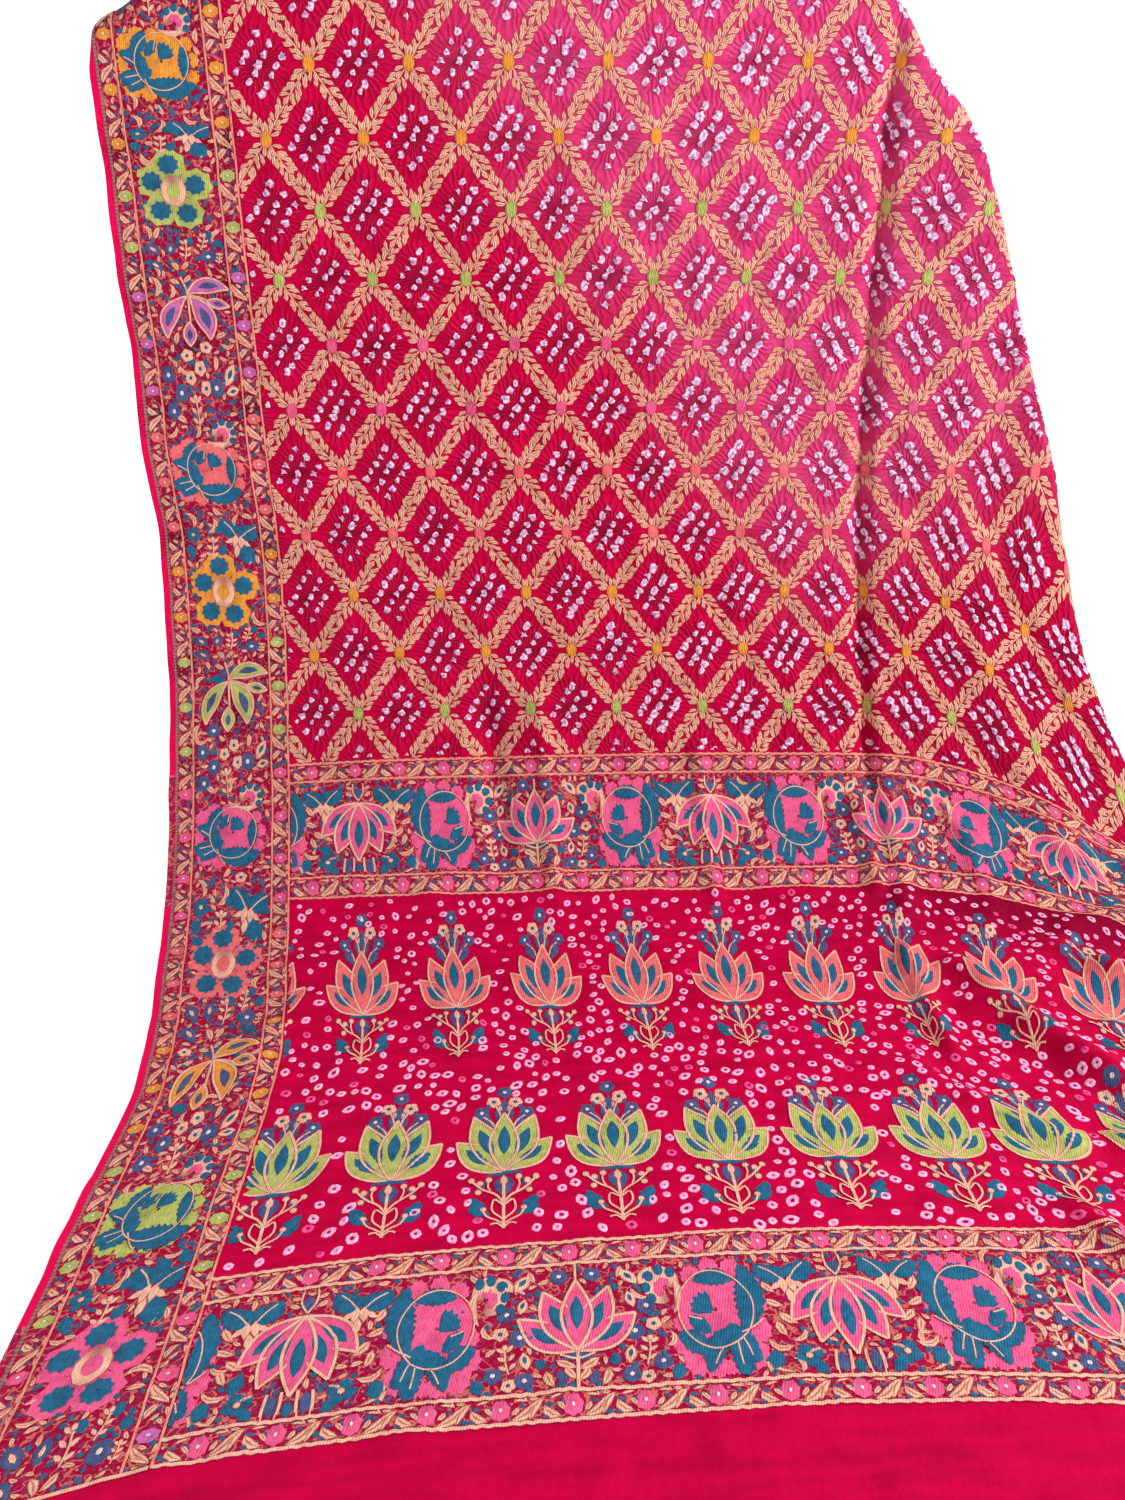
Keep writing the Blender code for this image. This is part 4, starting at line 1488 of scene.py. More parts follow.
FILLERS: dict[Motif, tuple[Row, ...]] = {
    # 60 mm wide and 40 mm tall
    Motif.PEONY: (
        (TEAL_STAR, -23, -3), (CURL, -22, -9, -20), (SLATE_LEAF, -17, -15, 20, 1.3),
        (TEAL_LEAF, -24, 17, -20), (CURL, -11, -4, 25, 1.1), (BEAD, -2, -7, 0, 1.4), (SPRIG, -9, 19, 6),
        (WINGS, 13, 4, 12, 1.15), (TEAL_LEAF, 14, 4, 152, 1.8), (TEAL_LEAF, 3, 6, 205, 0.9),
        (PEACH_LEAF, 20, 24, 15), (PEACH_LEAF, 27, 24, -10),
    ),
    Motif.ROSETTE: (
        (HEART_LEAF, -18, 1, -35), (HEART_LEAF, -11, 2, 12, 0.9), (HEART_LEAF, -17, 17, -40),
        (BEAD, 20, -17, 0, 1.3), (BEAD, 26, -9, 0, 1.3), (BEAD, 5, -12, 0, 1.3), (STAR, 18, 4, 0, 1.2),
        (SPRIG, 1, 6, 4), (SPRIG, 13, -3, 14, 0.85), (PEACH_LEAF, -6, 18, -20, 1.2),
        (PEACH_LEAF, -4, 16, 40, 1.1), (SPRIG, 25, 12, 8, 0.6),
    ),
    Motif.LOTUS: (
        (STAR, -24, -13, 0, 0.95), (STAR, -15, -3), (STAR, -23, 7), (BLOSSOM, 1, -16, 0, 0.95),
        (BLOSSOM, -7, -11, 0, 0.9), (BLOSSOM, 4, -5, 0, 0.95), (STAR, 12, -5, 0, 1.1),
        (EYED_LEAF, 19, -6, 35), (EYED_LEAF, 19, -2, 80, 0.75), (SPRIG, -4, 17, -4, 0.95),
        (PEACH_LEAF, 12, -14, 10), (PEACH_LEAF, -14, 14, -60),
    ),
}


@dataclass
class MotifBook:
    """Draws the motifs that the borders and the lotus rows repeat."""

    small: OrnamentBook = field(default_factory=OrnamentBook)

    def peony(self) -> Work:
        """Draw a peony of a cross border: a corded ball among toothed petals and leaves."""
        pen = Pen()
        petals = (
            # centre, reach
            (-22, -13, 6.5), (-23, -1, 6.5), (-22, 12, 7), (-18, 24, 8), (-9, 29, 7.5), (3, 30, 7.5),
            (13, 26, 8), (18, 17, 7.5), (19, 6, 5), (-12, -22, 6), (0, -23, 6), (11, -19, 6),
        )
        for x, y, reach in petals:
            out = math.degrees(math.atan2(y, x))
            pen.fan(MEENA, (x, y), out, 360, reach, 0.05, 9, 0, 0.18, 0, puff=0.1)
        pen.fan(MEENA, (0, 0), -90, 360, 20.5, 0.05, 13, 1, 0, 0, puff=0.05)
        leaves = (
            # base, tip, width, bend, teeth
            ((-17, -24), (-13, 13), 17, 0.13, 8), ((-13, -15.5), (10, -15.5), 10, -0.08, 6),
            ((4, 12), (15, 3), 8.5, 0, 3), ((7, 23), (22, 12), 12, -0.1, 4),
            ((-6, 8), (-21, 27), 15, -0.1, 6), ((-8, 13), (-10, 36), 13, 0.1, 6),
            ((-6, 11), (7, 32), 12, -0.1, 6),
        )
        for base, tip, width, bend, teeth in leaves:
            pen.blade(TEAL, base, tip, width, bend, 0.5, 2, 0.35, 0.5, teeth)
        pen.fan(TEAL, (1, 2), -42, 84, 14, 0.1, 5, 2, 0.15)
        ball = [(20.5 * math.cos(a), 20.5 * math.sin(a)) for a in np.linspace(0.2, 6.48, 18)]
        for line in (ball, ((-25, 7), (-19, 11), (-12, 14)), ((-12, 16.5), (-14, 20), (-16, 25)),
                ((-9, 18.5), (-9.5, 23), (-10.5, 29)), ((-1, 20.5), (1.5, 23.5), (4, 28)),
                ((8, 5), (12, 4), (15, 3))):
            pen.cord(PEACH, line, 0.9, 4)
        work = [pen.work()] + self.small.arrange(((COMB, 22, -6, 20, 0.95),))
        return Work.join(work).stamp([Place(0, -2.9, meena=MEENA)])

    @staticmethod
    def rosette() -> Work:
        """Draw a rosette: five scalloped petals with toothed teal hearts round an eye."""
        pen = Pen()
        for angle in (-97, -12, 62, 132, 202):
            cos, sin = math.cos(math.radians(angle)), math.sin(math.radians(angle))
            pen.fan(MEENA, (15.5 * cos, 19 * sin), angle, 360, 12.6, 0.05, 8, 0, 0.14, 0, puff=0.1)
            pen.fan(TEAL, (15.5 * cos, 19.5 * sin), angle, 360, 7.6, 0.05, 9, 2, 0.2, 0)
        pen.fan(PEACH, (0, 0), 90, 360, 11.5, 0.4, 12, 2, 0.04, 0, 0.72)
        pen.fan(MEENA, (0, 0), 90, 360, 6.4, 0.05, 7, 3, 0, 0, 0.72)
        return pen.work().stamp([Place(0, 0, 0, 1.08, meena=MEENA)])

    def lotus_spray(self) -> Work:
        """Draw a lotus that hangs to one side, each petal with a slate line and heart."""
        pen = Pen()
        petals = (
            # base, tip, width, bend
            ((-1, 23), (-2, 43), 10, 0), ((14, 6), (31, 11), 8, 0), ((-1, 2), (-19, 36), 12.5, 0.14),
            ((0, 0), (32, -3), 12.5, -0.16), ((1, 2), (14, 38), 15, -0.12),
        )
        pen.cord(PEACH, ((-3, -14), (-1, -7), (0, 1), (0, 24)), 1.7)
        pen.cord(PEACH, ((0, 1), (8, 3), (15, 6)), 1.7)
        for base, tip, width, bend in petals:
            pen.petal(MEENA, base, tip, width, bend, 0.5, 1, SLATE, 1.7)
        rows = ((SLATE_LEAF, 0, -2, -50, 1.3), (SLATE_LEAF, 1, -3, 15, 1.2), (PEACH_LEAF, -4, -8, -60),
            (PEACH_LEAF, -2, -10, 50))
        return Work.join([pen.work()] + self.small.arrange(rows))

    def filler(self, after: Motif) -> Work:
        """Draw what stands in the side border after a main motif, round its middle."""
        return Work.join(self.small.arrange(FILLERS[after]))

    @staticmethod
    def vine(length: float) -> Work:
        """Draw one unit of the narrow vine: a small flower and big curled peach leaves.

        Args:
            length: Length of the unit, in mm.

        Returns:
            The work, along across, with the flower at its start.
        """
        pen = Pen()
        unit = length / VINE_UNIT
        pen.fan(MEENA, (0, 0), 90, 360, 7, 0.05, 7, 0, 0.14, 0, 0.76)
        pen.dot(IVORY, (0, 0), 1, 1.5, layer=3, sides=6)
        leaves = (
            # thread, base, tip, width, bend
            (LEAF, (5.4, 6.6), (16.8, -4.2), 6.4, 0.16), (LEAF, (14.4, 6.8), (21.2, -5.8), 5.6, -0.12),
            (LEAF, (29.8, 6.4), (21.6, -1.6), 6.2, -0.18), (LEAF, (30.4, -6.4), (23.6, -5), 3.8, 0.15),
            (LEAF, (6.4, -6.2), (13.4, -4.6), 4, -0.18), (LEAF, (31.2, 3), (27.6, -2.4), 3.4, 0.1),
            (LEAF, (5.4, 3.2), (9, -1.6), 3.4, 0.1), (LEAF, (13.8, -6.8), (18.6, -6.2), 2.6, 0.1),
            (SLATE, (12, 5), (15.6, 0.6), 2.6, 0), (SLATE, (20.2, 5.6), (24.2, 5.8), 2.8, 0),
            (SLATE, (21.2, -2), (26.4, -1.4), 2.6, 0), (TEAL, (9.4, -2.4), (12.4, -1.8), 2.4, 0),
            (SLATE, (30.4, -3.6), (31.8, 1), 2.4, 0),
        )
        for thread, base, tip, width, bend in leaves:
            ends = (base[0] * unit, base[1]), (tip[0] * unit, tip[1])
            pen.blade(thread, *ends, width, bend, 0.5, 0, 0.4, 0.35)
        return pen.work()

    def plant(self, height: float) -> Work:
        """Draw the lotus plant of the lotus rows, round the foot of its petals.

        Args:
            height: Height of its middle petal, in mm.

        Returns:
            The work.
        """
        pen = Pen()
        up = 83.5 - 1.56 * height  # what stands over the petals rises faster than they do
        pen.blades(((SLATE, (7, up - 38), (11, up - 55), 9, 0.1, 0.55),
            (SLATE, (2, up - 46), (4.5, up - 64), 5, 0.05), (SLATE, (12, 8), (17, 15), 5.4, 0),
            (TEAL, (9, 38), (21, 22), 9.5, 0.06, 0.55, 0, 0.35, 0.4, 3),
            (TEAL, (8, 38), (22, 31), 8, 0.06, 0.55, 0, 0.35, 0.4, 3)))
        pen.cords(((1.3, 1, (2, up - 48), (3, up - 56), (6.5, up - 64)),
            (1.3, 1, (6, up - 42), (8, up - 48), (14, up - 54)),
            (1.7, 2, (0, 29), (5, 22), (13, 16), (20, 8)), (1.3, 2, (8, 19.5), (10, 13), (9.5, 8)),
            (1.5, 2, (0, 43), (7, 35), (6, 26), (1, 30)), (1.5, 2, (0, 47), (5, 43), (10, 40), (13, 34)),
            (1.5, 2, (0, 50), (4, 46), (8, 47))))
        pen.blade(SLATE, (0, up - 52), (0, up - 70), 6)
        LotusPetals(height, 19).draw(pen, MEENA, (0, 0))
        pen.blade(SLATE, (-12, 3.6), (12, 3.6), 6.4, -0.12, 0.5, 0)
        pen.blade(TEAL, (-7, 2.8), (7, 2.8), 3.4, -0.06, 0.5, 1)
        pen.blade(SLATE, (0, 4), (0, 24), 13, full=0.4)
        pen.blade(PEACH, (0, 14), (0, 4), 5.6, full=0.45, layer=2)
        pen.cord(PEACH, ((0, 10), (0, 26), (0, 51)), 2.2, 2)
        buds = ((20.5, 7), (9.5, 7), (16, 18), (15, 10))
        for side in (-1, 1):
            for x, y in buds:
                pen.dot(PEACH, (x * side, y), 2.4, 2.6, layer=2)
            pen.dot(PEACH, (12.5 * side, 33.5), 2.2, 2.2, layer=2)
        rows = ((BLOSSOM, 7.5, up - 67, 0, 1.15), (STAR, 15.5, up - 57), (SLATE_LEAF, 10, up - 60, 10, 0.8),
            (PEACH_LEAF, 2, up - 58, 8, 0.7))
        top = self.small.arrange(((STAR, 0, up - 77, 0, 1.05),))
        return Work.join([pen.work()] + top + self.small.arrange(rows, both_sides=True))

    def border_lotus(self, down: bool) -> Work:
        """Draw the lotus of a cross border with what grows round it.

        Args:
            down: Whether it hangs.

        Returns:
            The work, round the middle of the border's main band.
        """
        pen = Pen()
        if down:
            LotusPetals(51, 16.5, (21.8, 46), (46.7, 41)).draw(pen, MEENA, (0, -22), down=True)
            pen.blade(SLATE, (0, -35), (0, -23), 9, full=0.4)
            pen.blade(TEAL, (0, 31), (0, 41), 6)
            stalks = ((4, 26), (4, 33), (5, 41)), ((11, 26), (12, 34), (12, 41))
            pen.cords(((1.3, 1, (0, -24), (4, -31), (4, -41)), *((1.8, 1, *line) for line in stalks)))
            rows = ((WINGS, 28, -18, 4, 1.12), (PEACH_LEAF, 4, -28, 60, 0.8), (PEACH_LEAF, 4, -34, 70, 0.7),
                (SLATE_LEAF, 8, 40, 0, 1.7), (PEACH_LEAF, 36, -12, 30, 1.2), (PEACH_LEAF, 33, -3, 65, 1.2),
                (PEACH_LEAF, 27, 8, 50, 1.3), (PEACH_LEAF, 34, 16, 20, 1.2), (TEAL_STAR, 25, 29, 0, 1.2),
                (CURL, 34, 40, 40, 1.3), (CURL, 31, 22, 70), (TEAL_LEAF, 44, 40, -15, 1.3),
                (TEAL_LEAF, 16, 41, 35, 0.9), (PEACH_LEAF, 18, 24, 110, 0.8))
        else:
            LotusPetals(46, 16.5, (23.8, 43.5), (55, 37.5)).draw(pen, MEENA, (0, 17))
            pen.blade(SLATE, (-9, 22), (9, 22), 6, -0.1)
            pen.cord(PEACH, ((-9, 19), (0, 22), (9, 19)), 1.5, 2)
            pen.cord(PEACH, ((0, 18), (0, 28), (0, 41)), 2, 2)
            pen.cord(PEACH, ((0, -29), (0, -35), (0, -41)), 1.5, 2)
            rows = ((STAR, 9, -33, 0, 0.95), (PEACH_LEAF, 0, 36, 35, 1.2), (PEACH_LEAF, 0, 28, 62, 1.4),
                (PEACH_LEAF, 12, 40, 20, 1.3), (EYED_LEAF, 33, -24, -35), (EYED_LEAF, 34, -24, 35),
                (EYED_LEAF, 30, -8, -15, 0.75), (STAR, 37, -9), (BLOSSOM, 40, 3, 0, 0.95),
                (STAR, 30, 7, 0, 1.05), (SPRIG, 35, 29, 8, 0.95), (STAR, 43, 29, 0, 0.95),
                (EYED_LEAF, 26, 27, 10, 0.8), (STAR, 27, 34, 0, 0.95), (SLATE_LEAF, 6, 39, 20, 1.3),
                (BEAD, 19, 24, 0, 1.2), (BLOSSOM, 35, 36, 0, 0.85), (TEAL_LEAF, 48, 41, 20, 0.9),
                (PEACH_LEAF, 22, -30, 20), (BEAD, 20, -22))
        return Work.join([pen.work()] + self.small.arrange(rows, both_sides=True))

    def border_peony(self) -> Work:
        """Draw the peony as the cross borders have it, stretched to their height."""
        return self.peony().stamp([Place(0, 0, meena=MEENA, wide=0.97, above=1.26, below=1.26)])

    def side_peony(self) -> Work:
        """Draw the peony as the side borders have it, turned on its side."""
        turned = self.peony().stamp([Place(0, 0, 90, 1, True, MEENA)])
        return turned.stamp([Place(0, 0, meena=MEENA, wide=0.92, above=1.05, below=1.05)])


@dataclass
class SideBorder:
    """One side border, from the selvedge in: vine, main motifs, vine."""

    loom: Loom
    book: MotifBook
    chance: Chance
    name: str
    mirrored: bool
    # down in pitches, and the colour, of a lotus spray, a peony, a rosette and so on in turn
    turns: tuple[tuple[float, Thread], ...] = ((-0.95, LILAC), (0.48, ORANGE), (1.7, GREEN), (2.95, LILAC),
        (4.66, CORAL), (6.05, ORANGE), (7.25, GREEN), (8.85, PINK), (10.65, CORAL), (12.35, ORANGE),
        (14.05, GREEN), (15.55, PINK), (17.05, LILAC))
    after_last: float = 18.6
    order: tuple[Motif, ...] = (Motif.LOTUS, Motif.PEONY, Motif.ROSETTE)
    motif_height: float = 58.0  # mm, of a main motif as drawn
    filler_height: float = 42.0  # mm, of what stands between two of them
    stretch: Table = ((2.2, 0.86), (3.5, 0.92), (4.6, 0.95), (9.3, 1.0), (10.4, 1.35), (11.6, 1.3),
        (12.6, 1.05), (13.2, 1.0))

    def _tall(self, down: float) -> float:
        """Give how much longer the weave is beaten out at a distance down, in pitches."""
        return float(curve(self.stretch, np.array(down)))

    def _main(self) -> list[Work]:
        """Draw the main band: motifs and the fillers between them."""
        middle = (SIDE_LINES[0] + SIDE_LINES[1]) / 2 / MM
        book = self.book
        drawn = dict(zip(Motif, (book.side_peony(), book.rosette(), book.lotus_spray())))
        raised, sunk = dict(zip(Motif, (0.0, 0.0, 0.2))), dict(zip(Motif, (0.08, 0.0, 0.06)))
        following = [down for down, _ in self.turns[1:]] + [self.after_last]
        work = []
        for (down, meena), after, motif in zip(self.turns, following, cycle(self.order)):
            tall = self._tall(down)
            y = (down - raised[motif]) * PITCH / MM
            place = Place(middle - 2, y, meena=meena, above=tall, below=tall)
            work.append(drawn[motif].stamp([place]))
            y = ((down + after) / 2 + sunk[motif]) * PITCH / MM
            tall = min(max(((after - down) * PITCH / MM - self.motif_height) / self.filler_height, 0.65), 1.4)
            place = Place(middle, y, meena=meena, above=tall, below=tall)
            work.append(book.filler(motif).stamp([place]))
        return work

    def _band(self, down: float) -> Thread:
        """Give the colour of the small vine flowers at a distance down, in pitches."""
        return min(self.turns, key=lambda turn: abs(turn[0] - down))[1]

    def _vines(self, top: float, end: float) -> Work:
        """Draw the narrow vines."""
        inner = (SIDE_LINES[1] + SIDE_LINES[2]) / 2 / MM
        places = []
        for i in range(int((end - top) / VINE_UNIT) + 1):
            y = top + 6 + i * VINE_UNIT
            meena = self._band(y * MM / PITCH)
            places.append(Place(inner, y, 90, 0.84, meena=meena))
            places.append(Place(13.4, y + 12, 90, 0.8, True, meena))
        return self.book.vine(VINE_UNIT).stamp(places).inside(Window(5, 1000, top, end))

    def _edges(self, top: float, end: float) -> Work:
        """Draw the corded lines and the woven edge beside the selvedge."""
        pen = Pen()
        for line in SIDE_LINES:
            pen.cord(LINE, ((line / MM, top), (line / MM, end)), 1.5, 1, 0.35)
        pen.cord(PEACH, [(x, end) for x in np.arange(5.5, INNER_LINE + 1, 3.0)], 2.4, 1, 0.5)
        for y in np.arange(top, end - 3, 2.6):
            pen.blade(ZARI, (5.6, y), (6.6, y + 2.4), 2.6, 0.0, 0.5, 0, 0.2, 0.8)
        return pen.work()

    def build(self) -> Piece:
        """Weave the border.

        Returns:
            The finished object.
        """
        drape = self.loom.drape
        top, end = drape.crest.top / MM + 1.5, LOWER_BORDER[3] / MM
        band = Window(SIDE_LINES[0] / MM + 0.9, SIDE_LINES[1] / MM - 0.9, top, end)
        sower = Sower(self.book.small, self.chance)
        main = sower.fill(Work.join(self._main()).inside(band), band)
        edges, vines = self._edges(top, end), self._vines(top, end)
        for left, right in ((8.6, band.left - 1.6), (band.right + 1.6, INNER_LINE - 0.8)):
            vines = sower.fill(vines, Window(left, right, top, end))
        work = Work.join([main, vines, edges])
        if self.mirrored:
            work = work.stamp([Place(drape.width / MM, 0.0, 0.0, 1.0, True)])
        return self.loom.piece(self.name, work)


@dataclass
class CrossBorder:
    """A border across the cloth: vine, hanging and standing lotuses with peonies, vine."""

    loom: Loom
    book: MotifBook
    chance: Chance
    name: str
    lines: tuple[float, float, float, float]
    first_lotus: float
    line_thread: Thread
    line_width: float
    lotus_step: float = 0.1425
    meena: Thread = PINK

    def build(self) -> Piece:
        """Weave the border.

        Returns:
            The finished object.
        """
        drape = self.loom.drape
        left, right = INNER_LINE + 0.9, (drape.width - SIDE_LINES[2]) / MM - 0.9
        top, upper, lower, bottom = (line / MM for line in self.lines)
        middle, tall = (upper + lower) / 2, (lower - upper) / 84
        lotuses, peonies = {True: [], False: []}, []
        for i in range(-1, 8):
            x = (self.first_lotus + i * self.lotus_step) / MM
            hangs = i % 2 == 0
            lotuses[hangs].append(Place(x, middle, meena=self.meena, above=tall, below=tall))
            x += self.lotus_step / 2 / MM * (0.97 if hangs else 1.03)
            peonies.append(Place(x, middle, 0, 1.0, not hangs, self.meena, 1.0, tall, tall))
        work = [self.book.border_lotus(hangs).stamp(places) for hangs, places in lotuses.items()]
        work.append(self.book.border_peony().stamp(peonies))
        sower = Sower(self.book.small, self.chance)
        band = Window(left, right, upper + 1.0, lower - 1.0)
        main = sower.fill(Work.join(work).inside(band), band)
        unit = self.lotus_step / 4 / MM
        parts = [main]
        for y0, y1 in ((top, upper), (lower, bottom)):
            high = (y1 - y0) / 17.5
            places = [Place(left + (i - 0.5) * unit, (y0 + y1) / 2, 0, 1.0, False, self.meena, 1.0, high,
                high) for i in range(int((right - left) / unit) + 3)]
            band = Window(left, right, y0 + 0.8, y1 - 0.8)
            vine = self.book.vine(unit).stamp(places).inside(band)
            parts.append(sower.fill(vine, band))
        pen = Pen()
        for y in (top, upper, lower, bottom):
            wave = [(x, y + 0.45 * math.sin(x * 0.9)) for x in np.arange(left - 0.9, right + 0.9, 3.0)]
            pen.cord(self.line_thread, wave, self.line_width, 1, 0.5)
        return self.loom.piece(self.name, Work.join(parts + [pen.work()]))


@dataclass(frozen=True)
class PlantRow:
    """One row of lotus plants."""

    first: float  # across, of the first foot
    foot: float  # down, in pitches
    height: float  # mm, of the middle petal
    factors: tuple[float, float, float]  # across, above and below the foot
    meena: Thread
    dips: tuple[int, ...] = (0,) * 14  # mm, by which each plant lies low
    step: float = 0.0697

    @property
    def places(self) -> list[Place]:
        """List the places of the plants."""
        y = self.foot * PITCH / MM
        return [Place((self.first + i * self.step) / MM, y + dip, 0, 1.0, False, self.meena,
            *self.factors) for i, dip in enumerate(self.dips)]


@dataclass
class LotusRows:
    """The two rows of lotus plants in the end panel and the tied rings scattered round them."""

    loom: Loom
    book: MotifBook
    chance: Chance
    rows: tuple[PlantRow, ...] = (PlantRow(0.084, 11.68, 58.0, (0.85, 1.34, 1.08), CORAL, (0,) * 8 + (5,
        11) + (13,) * 4), PlantRow(0.117, 14.07, 50.0, (0.96, 1.04, 0.93), GREEN))
    ring_gap: float = 7.8
    ring_size: tuple[float, float, float] = (2.0, 1.3, 0.7)  # smallest, spread, growth towards the end
    rings_tried: int = 8000
    faint_share: float = 0.1

    @property
    def window(self) -> Window:
        """The panel between the borders."""
        left = INNER_LINE + 0.9
        right = self.loom.drape.width / MM - left
        return Window(left, right, UPPER_BORDER[3] / MM + 1, LOWER_BORDER[0] / MM - 1)

    def plants(self) -> Piece:
        """Weave the lotus plants."""
        work = Work.join([self.book.plant(row.height).stamp(row.places) for row in self.rows])
        return self.loom.piece("lotus_plants", work.inside(self.window))

    def _free(self, x: float, y: float) -> bool:
        """Tell whether a ring at a place would miss every plant."""
        for row in self.rows:
            top = row.height + 32
            for plant in row.places:
                dx, dy = abs(x - plant.x) / plant.wide, (y - plant.y)
                high, low = -dy / (top * plant.above), dy / (54 * plant.below)
                reach = 34 - 37 * max(high - 0.5, 0.0) / 0.5 if dy < 0 else 27 - 16 * low
                if high < 1.04 and low < 1 and dx < reach:
                    return False
        return True

    def rings(self) -> Piece:
        """Tie the scattered rings.

        Returns:
            The rings.
        """
        window = self.window
        wide, high = window.right - window.left - 8, window.bottom - window.top - 9
        smallest, spread, growth = self.ring_size
        kept: list[Point] = []
        work = []
        for x, y, size, tone, thin in self.chance.random((self.rings_tried, 5)):
            patches = math.sin(19 * x + 2.4 * math.sin(7 * y)) * math.cos(9 * y - 11 * x)
            if thin > 1.16 - 0.5 * y + 0.36 * patches:  # sparser towards the end, and in patches
                continue
            x, y = window.left + 4 + x * wide, window.top + 5 + y * high
            close = any((x - u) ** 2 + (y - v) ** 2 < self.ring_gap**2 for u, v in kept)
            if close or not self._free(x, y):
                continue
            kept.append((x, y))
            pen = Pen()
            radius = smallest + spread * size + growth * (y - window.top) / high
            mark = FAINT if tone < self.faint_share else RING
            pen.ring(mark, (0, 0), radius, (0.12 + 0.24 * size) * radius, 0.6)
            stretch = 0.85 + 0.7 * ((7 * tone) % 1)
            turn = (25 if x < self.loom.drape.half / MM else -40) + 110 * (((13 * tone) % 1) - 0.5)
            work.append(pen.work().stamp([Place(x, y, turn, 1.0, above=stretch, below=stretch)]))
        return self.loom.piece("tied_rings", Work.join(work))

    def build(self) -> list[Piece]:
        """Weave the plants and tie the rings."""
        return [self.plants(), self.rings()]


@dataclass
class Hem:
    """The narrow rolled hem of the plain end, with its running stitches."""

    loom: Loom
    width: float = 6.5
    stitch: float = 3.2
    gap: float = 5.4

    def build(self) -> Piece:
        """Sew the hem.

        Returns:
            The finished object.
        """
        drape = self.loom.drape
        end, wide = drape.length / MM - 0.3, drape.width / MM
        pen = Pen()
        along = np.arange(0.5, wide, 3.8)
        line = np.column_stack([along, np.full_like(along, end - self.width / 2)])
        pen.strip(SILK, line, np.full_like(along, self.width / 2), 0, 0.7, 4)
        for x in np.arange(3, wide - 4, self.gap):
            y = end - self.width + 0.9
            pen.blade(LINE, (x, y), (x + self.stitch, y + 0.25), 0.9, 0.0, 0.5, 2, 0.25, 0.8)
        return self.loom.piece("end_hem", pen.work())


# ---- the studio


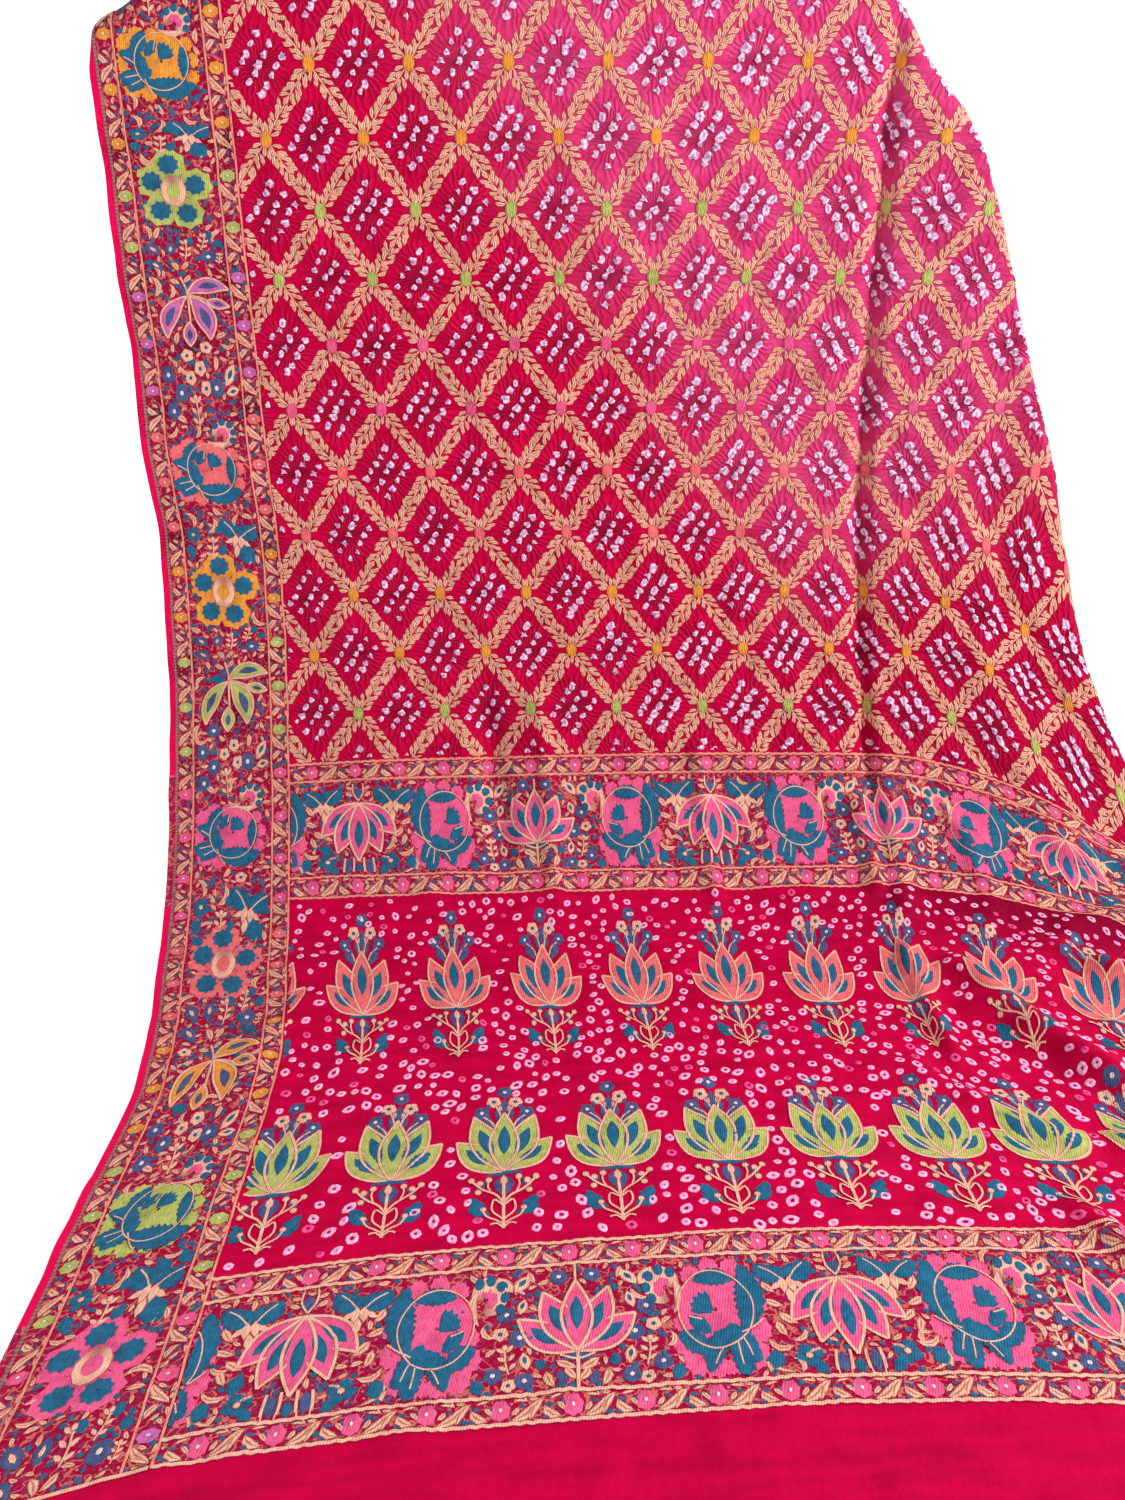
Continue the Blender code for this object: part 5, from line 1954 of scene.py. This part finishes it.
@dataclass(frozen=True)
class Studio:
    """Camera, soft lights and the plain floor."""

    camera_place: tuple[float, float, float] = (0.0357, -1.115, -0.02)
    camera_pitch: float = 28.0
    focal_pixels: float = 1400.0
    frame_height: float = 1500.0
    floor_gap: float = 0.0009
    sweep_start: float = 12.0
    sweep: float = 4.0
    sweep_steps: int = 16
    lights: tuple[tuple[tuple[float, float, float], tuple[float, float, float], float, float], ...] = (
        # place, aim, size, watts
        ((1.85, -0.88, 0.92), (0.1, -0.3, -0.35), 0.6, 55.0),
        ((-1.7, -1.5, 1.2), (0.1, -0.2, -0.3), 1.8, 8.0),
        ((0.6, 1.6, 1.6), (0.0, 0.0, -0.3), 1.8, 10.0),
    )

    def camera(self) -> None:
        """Stand the camera where the picture was taken from."""
        data = bpy.data.cameras.new("camera")
        data.sensor_fit = "AUTO"
        data.sensor_width = 36.0
        data.lens = 36.0 * self.focal_pixels / self.frame_height
        data.clip_start, data.clip_end = 0.01, 400.0
        camera = bpy.data.objects.new("camera", data)
        camera.location = self.camera_place
        camera.rotation_euler = (math.radians(90 - self.camera_pitch), 0.0, 0.0)
        bpy.context.scene.collection.objects.link(camera)
        bpy.context.scene.camera = camera

    def light(self) -> None:
        """Hang the soft lights and brighten the room."""
        for i, (place, aim, size, power) in enumerate(self.lights):
            data = bpy.data.lights.new(f"soft_light_{i}", "AREA")
            data.size, data.energy = size, power
            lamp = bpy.data.objects.new(f"soft_light_{i}", data)
            lamp.location = place
            ray = np.array(place) - np.array(aim)
            yaw = math.atan2(ray[0], -ray[1])
            lamp.rotation_euler = (math.atan2(math.hypot(ray[0], ray[1]), ray[2]), 0.0, yaw)
            bpy.context.scene.collection.objects.link(lamp)
        world = bpy.data.worlds.new("studio")
        world.use_nodes = True
        background = world.node_tree.nodes["Background"]
        background.inputs["Color"].default_value = (1.0, 1.0, 1.0, 1.0)
        background.inputs["Strength"].default_value = 0.44
        bpy.context.scene.world = world
        bpy.context.scene.view_settings.view_transform = "Standard"

    def floor(self, height: float) -> Piece:
        """Lay the floor just under the cloth and sweep it up far behind.

        Args:
            height: Height of the cloth's middle where it lies flat.

        Returns:
            The floor.
        """
        bend = np.linspace(0, math.pi / 2, self.sweep_steps + 1)
        back = [(self.sweep_start + self.sweep * math.sin(a), self.sweep * (1 - math.cos(a))) for a in bend]
        rows = [(-20.0, 0.0)] + back + [(self.sweep_start + self.sweep, 30.0)]
        z = height - self.floor_gap
        corners = [(x, y, z + up) for y, up in rows for x in (-40.0, 40.0)]
        faces = [(2 * i, 2 * i + 1, 2 * i + 3, 2 * i + 2) for i in range(len(rows) - 1)]
        mesh = bpy.data.meshes.new("studio_floor")
        mesh.from_pydata(corners, [], faces)
        mesh.materials.append(FloorFinish().material())
        mesh.shade_smooth()
        floor = bpy.data.objects.new("studio_floor", mesh)
        bpy.context.scene.collection.objects.link(floor)
        return floor


def declare(ground: Piece, work: list[Piece]) -> None:
    """Hang every piece on the root body and hide the plain solid.

    Args:
        ground: The draped sheet.
        work: The thread work that lies on it.
    """
    for piece in [ground, *work]:
        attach(piece, "root")
    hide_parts("saree_cloth")


def main() -> None:
    """Build the scene piece by piece."""
    logging.basicConfig(level=logging.INFO, format="%(name)s: %(message)s")
    chance = np.random.default_rng(8)
    drape = Drape()
    loom = Loom(drape, Threads())
    studio = Studio()
    studio.camera()
    studio.light()
    studio.floor(drape.floor)
    ground = Ground(loom).build()
    book = MotifBook()
    work = Field(loom, chance).build()
    for side, mirrored in (("left", False), ("right", True)):
        work.append(SideBorder(loom, book, np.random.default_rng(5), f"{side}_border", mirrored).build())
    for name, lines, first, thread, width in (("upper_border", UPPER_BORDER, 0.1525, LINE, 1.9),
            ("lower_border", LOWER_BORDER, 0.1535, PEACH, 2.4)):
        work.append(CrossBorder(loom, book, chance, name, lines, first, thread, width).build())
    work += LotusRows(loom, book, chance).build()
    work.append(Hem(loom).build())
    declare(ground, work)
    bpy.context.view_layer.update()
    LOG.info("pieces: %d", len(work) + 1)


if __name__ == "__main__":
    main()
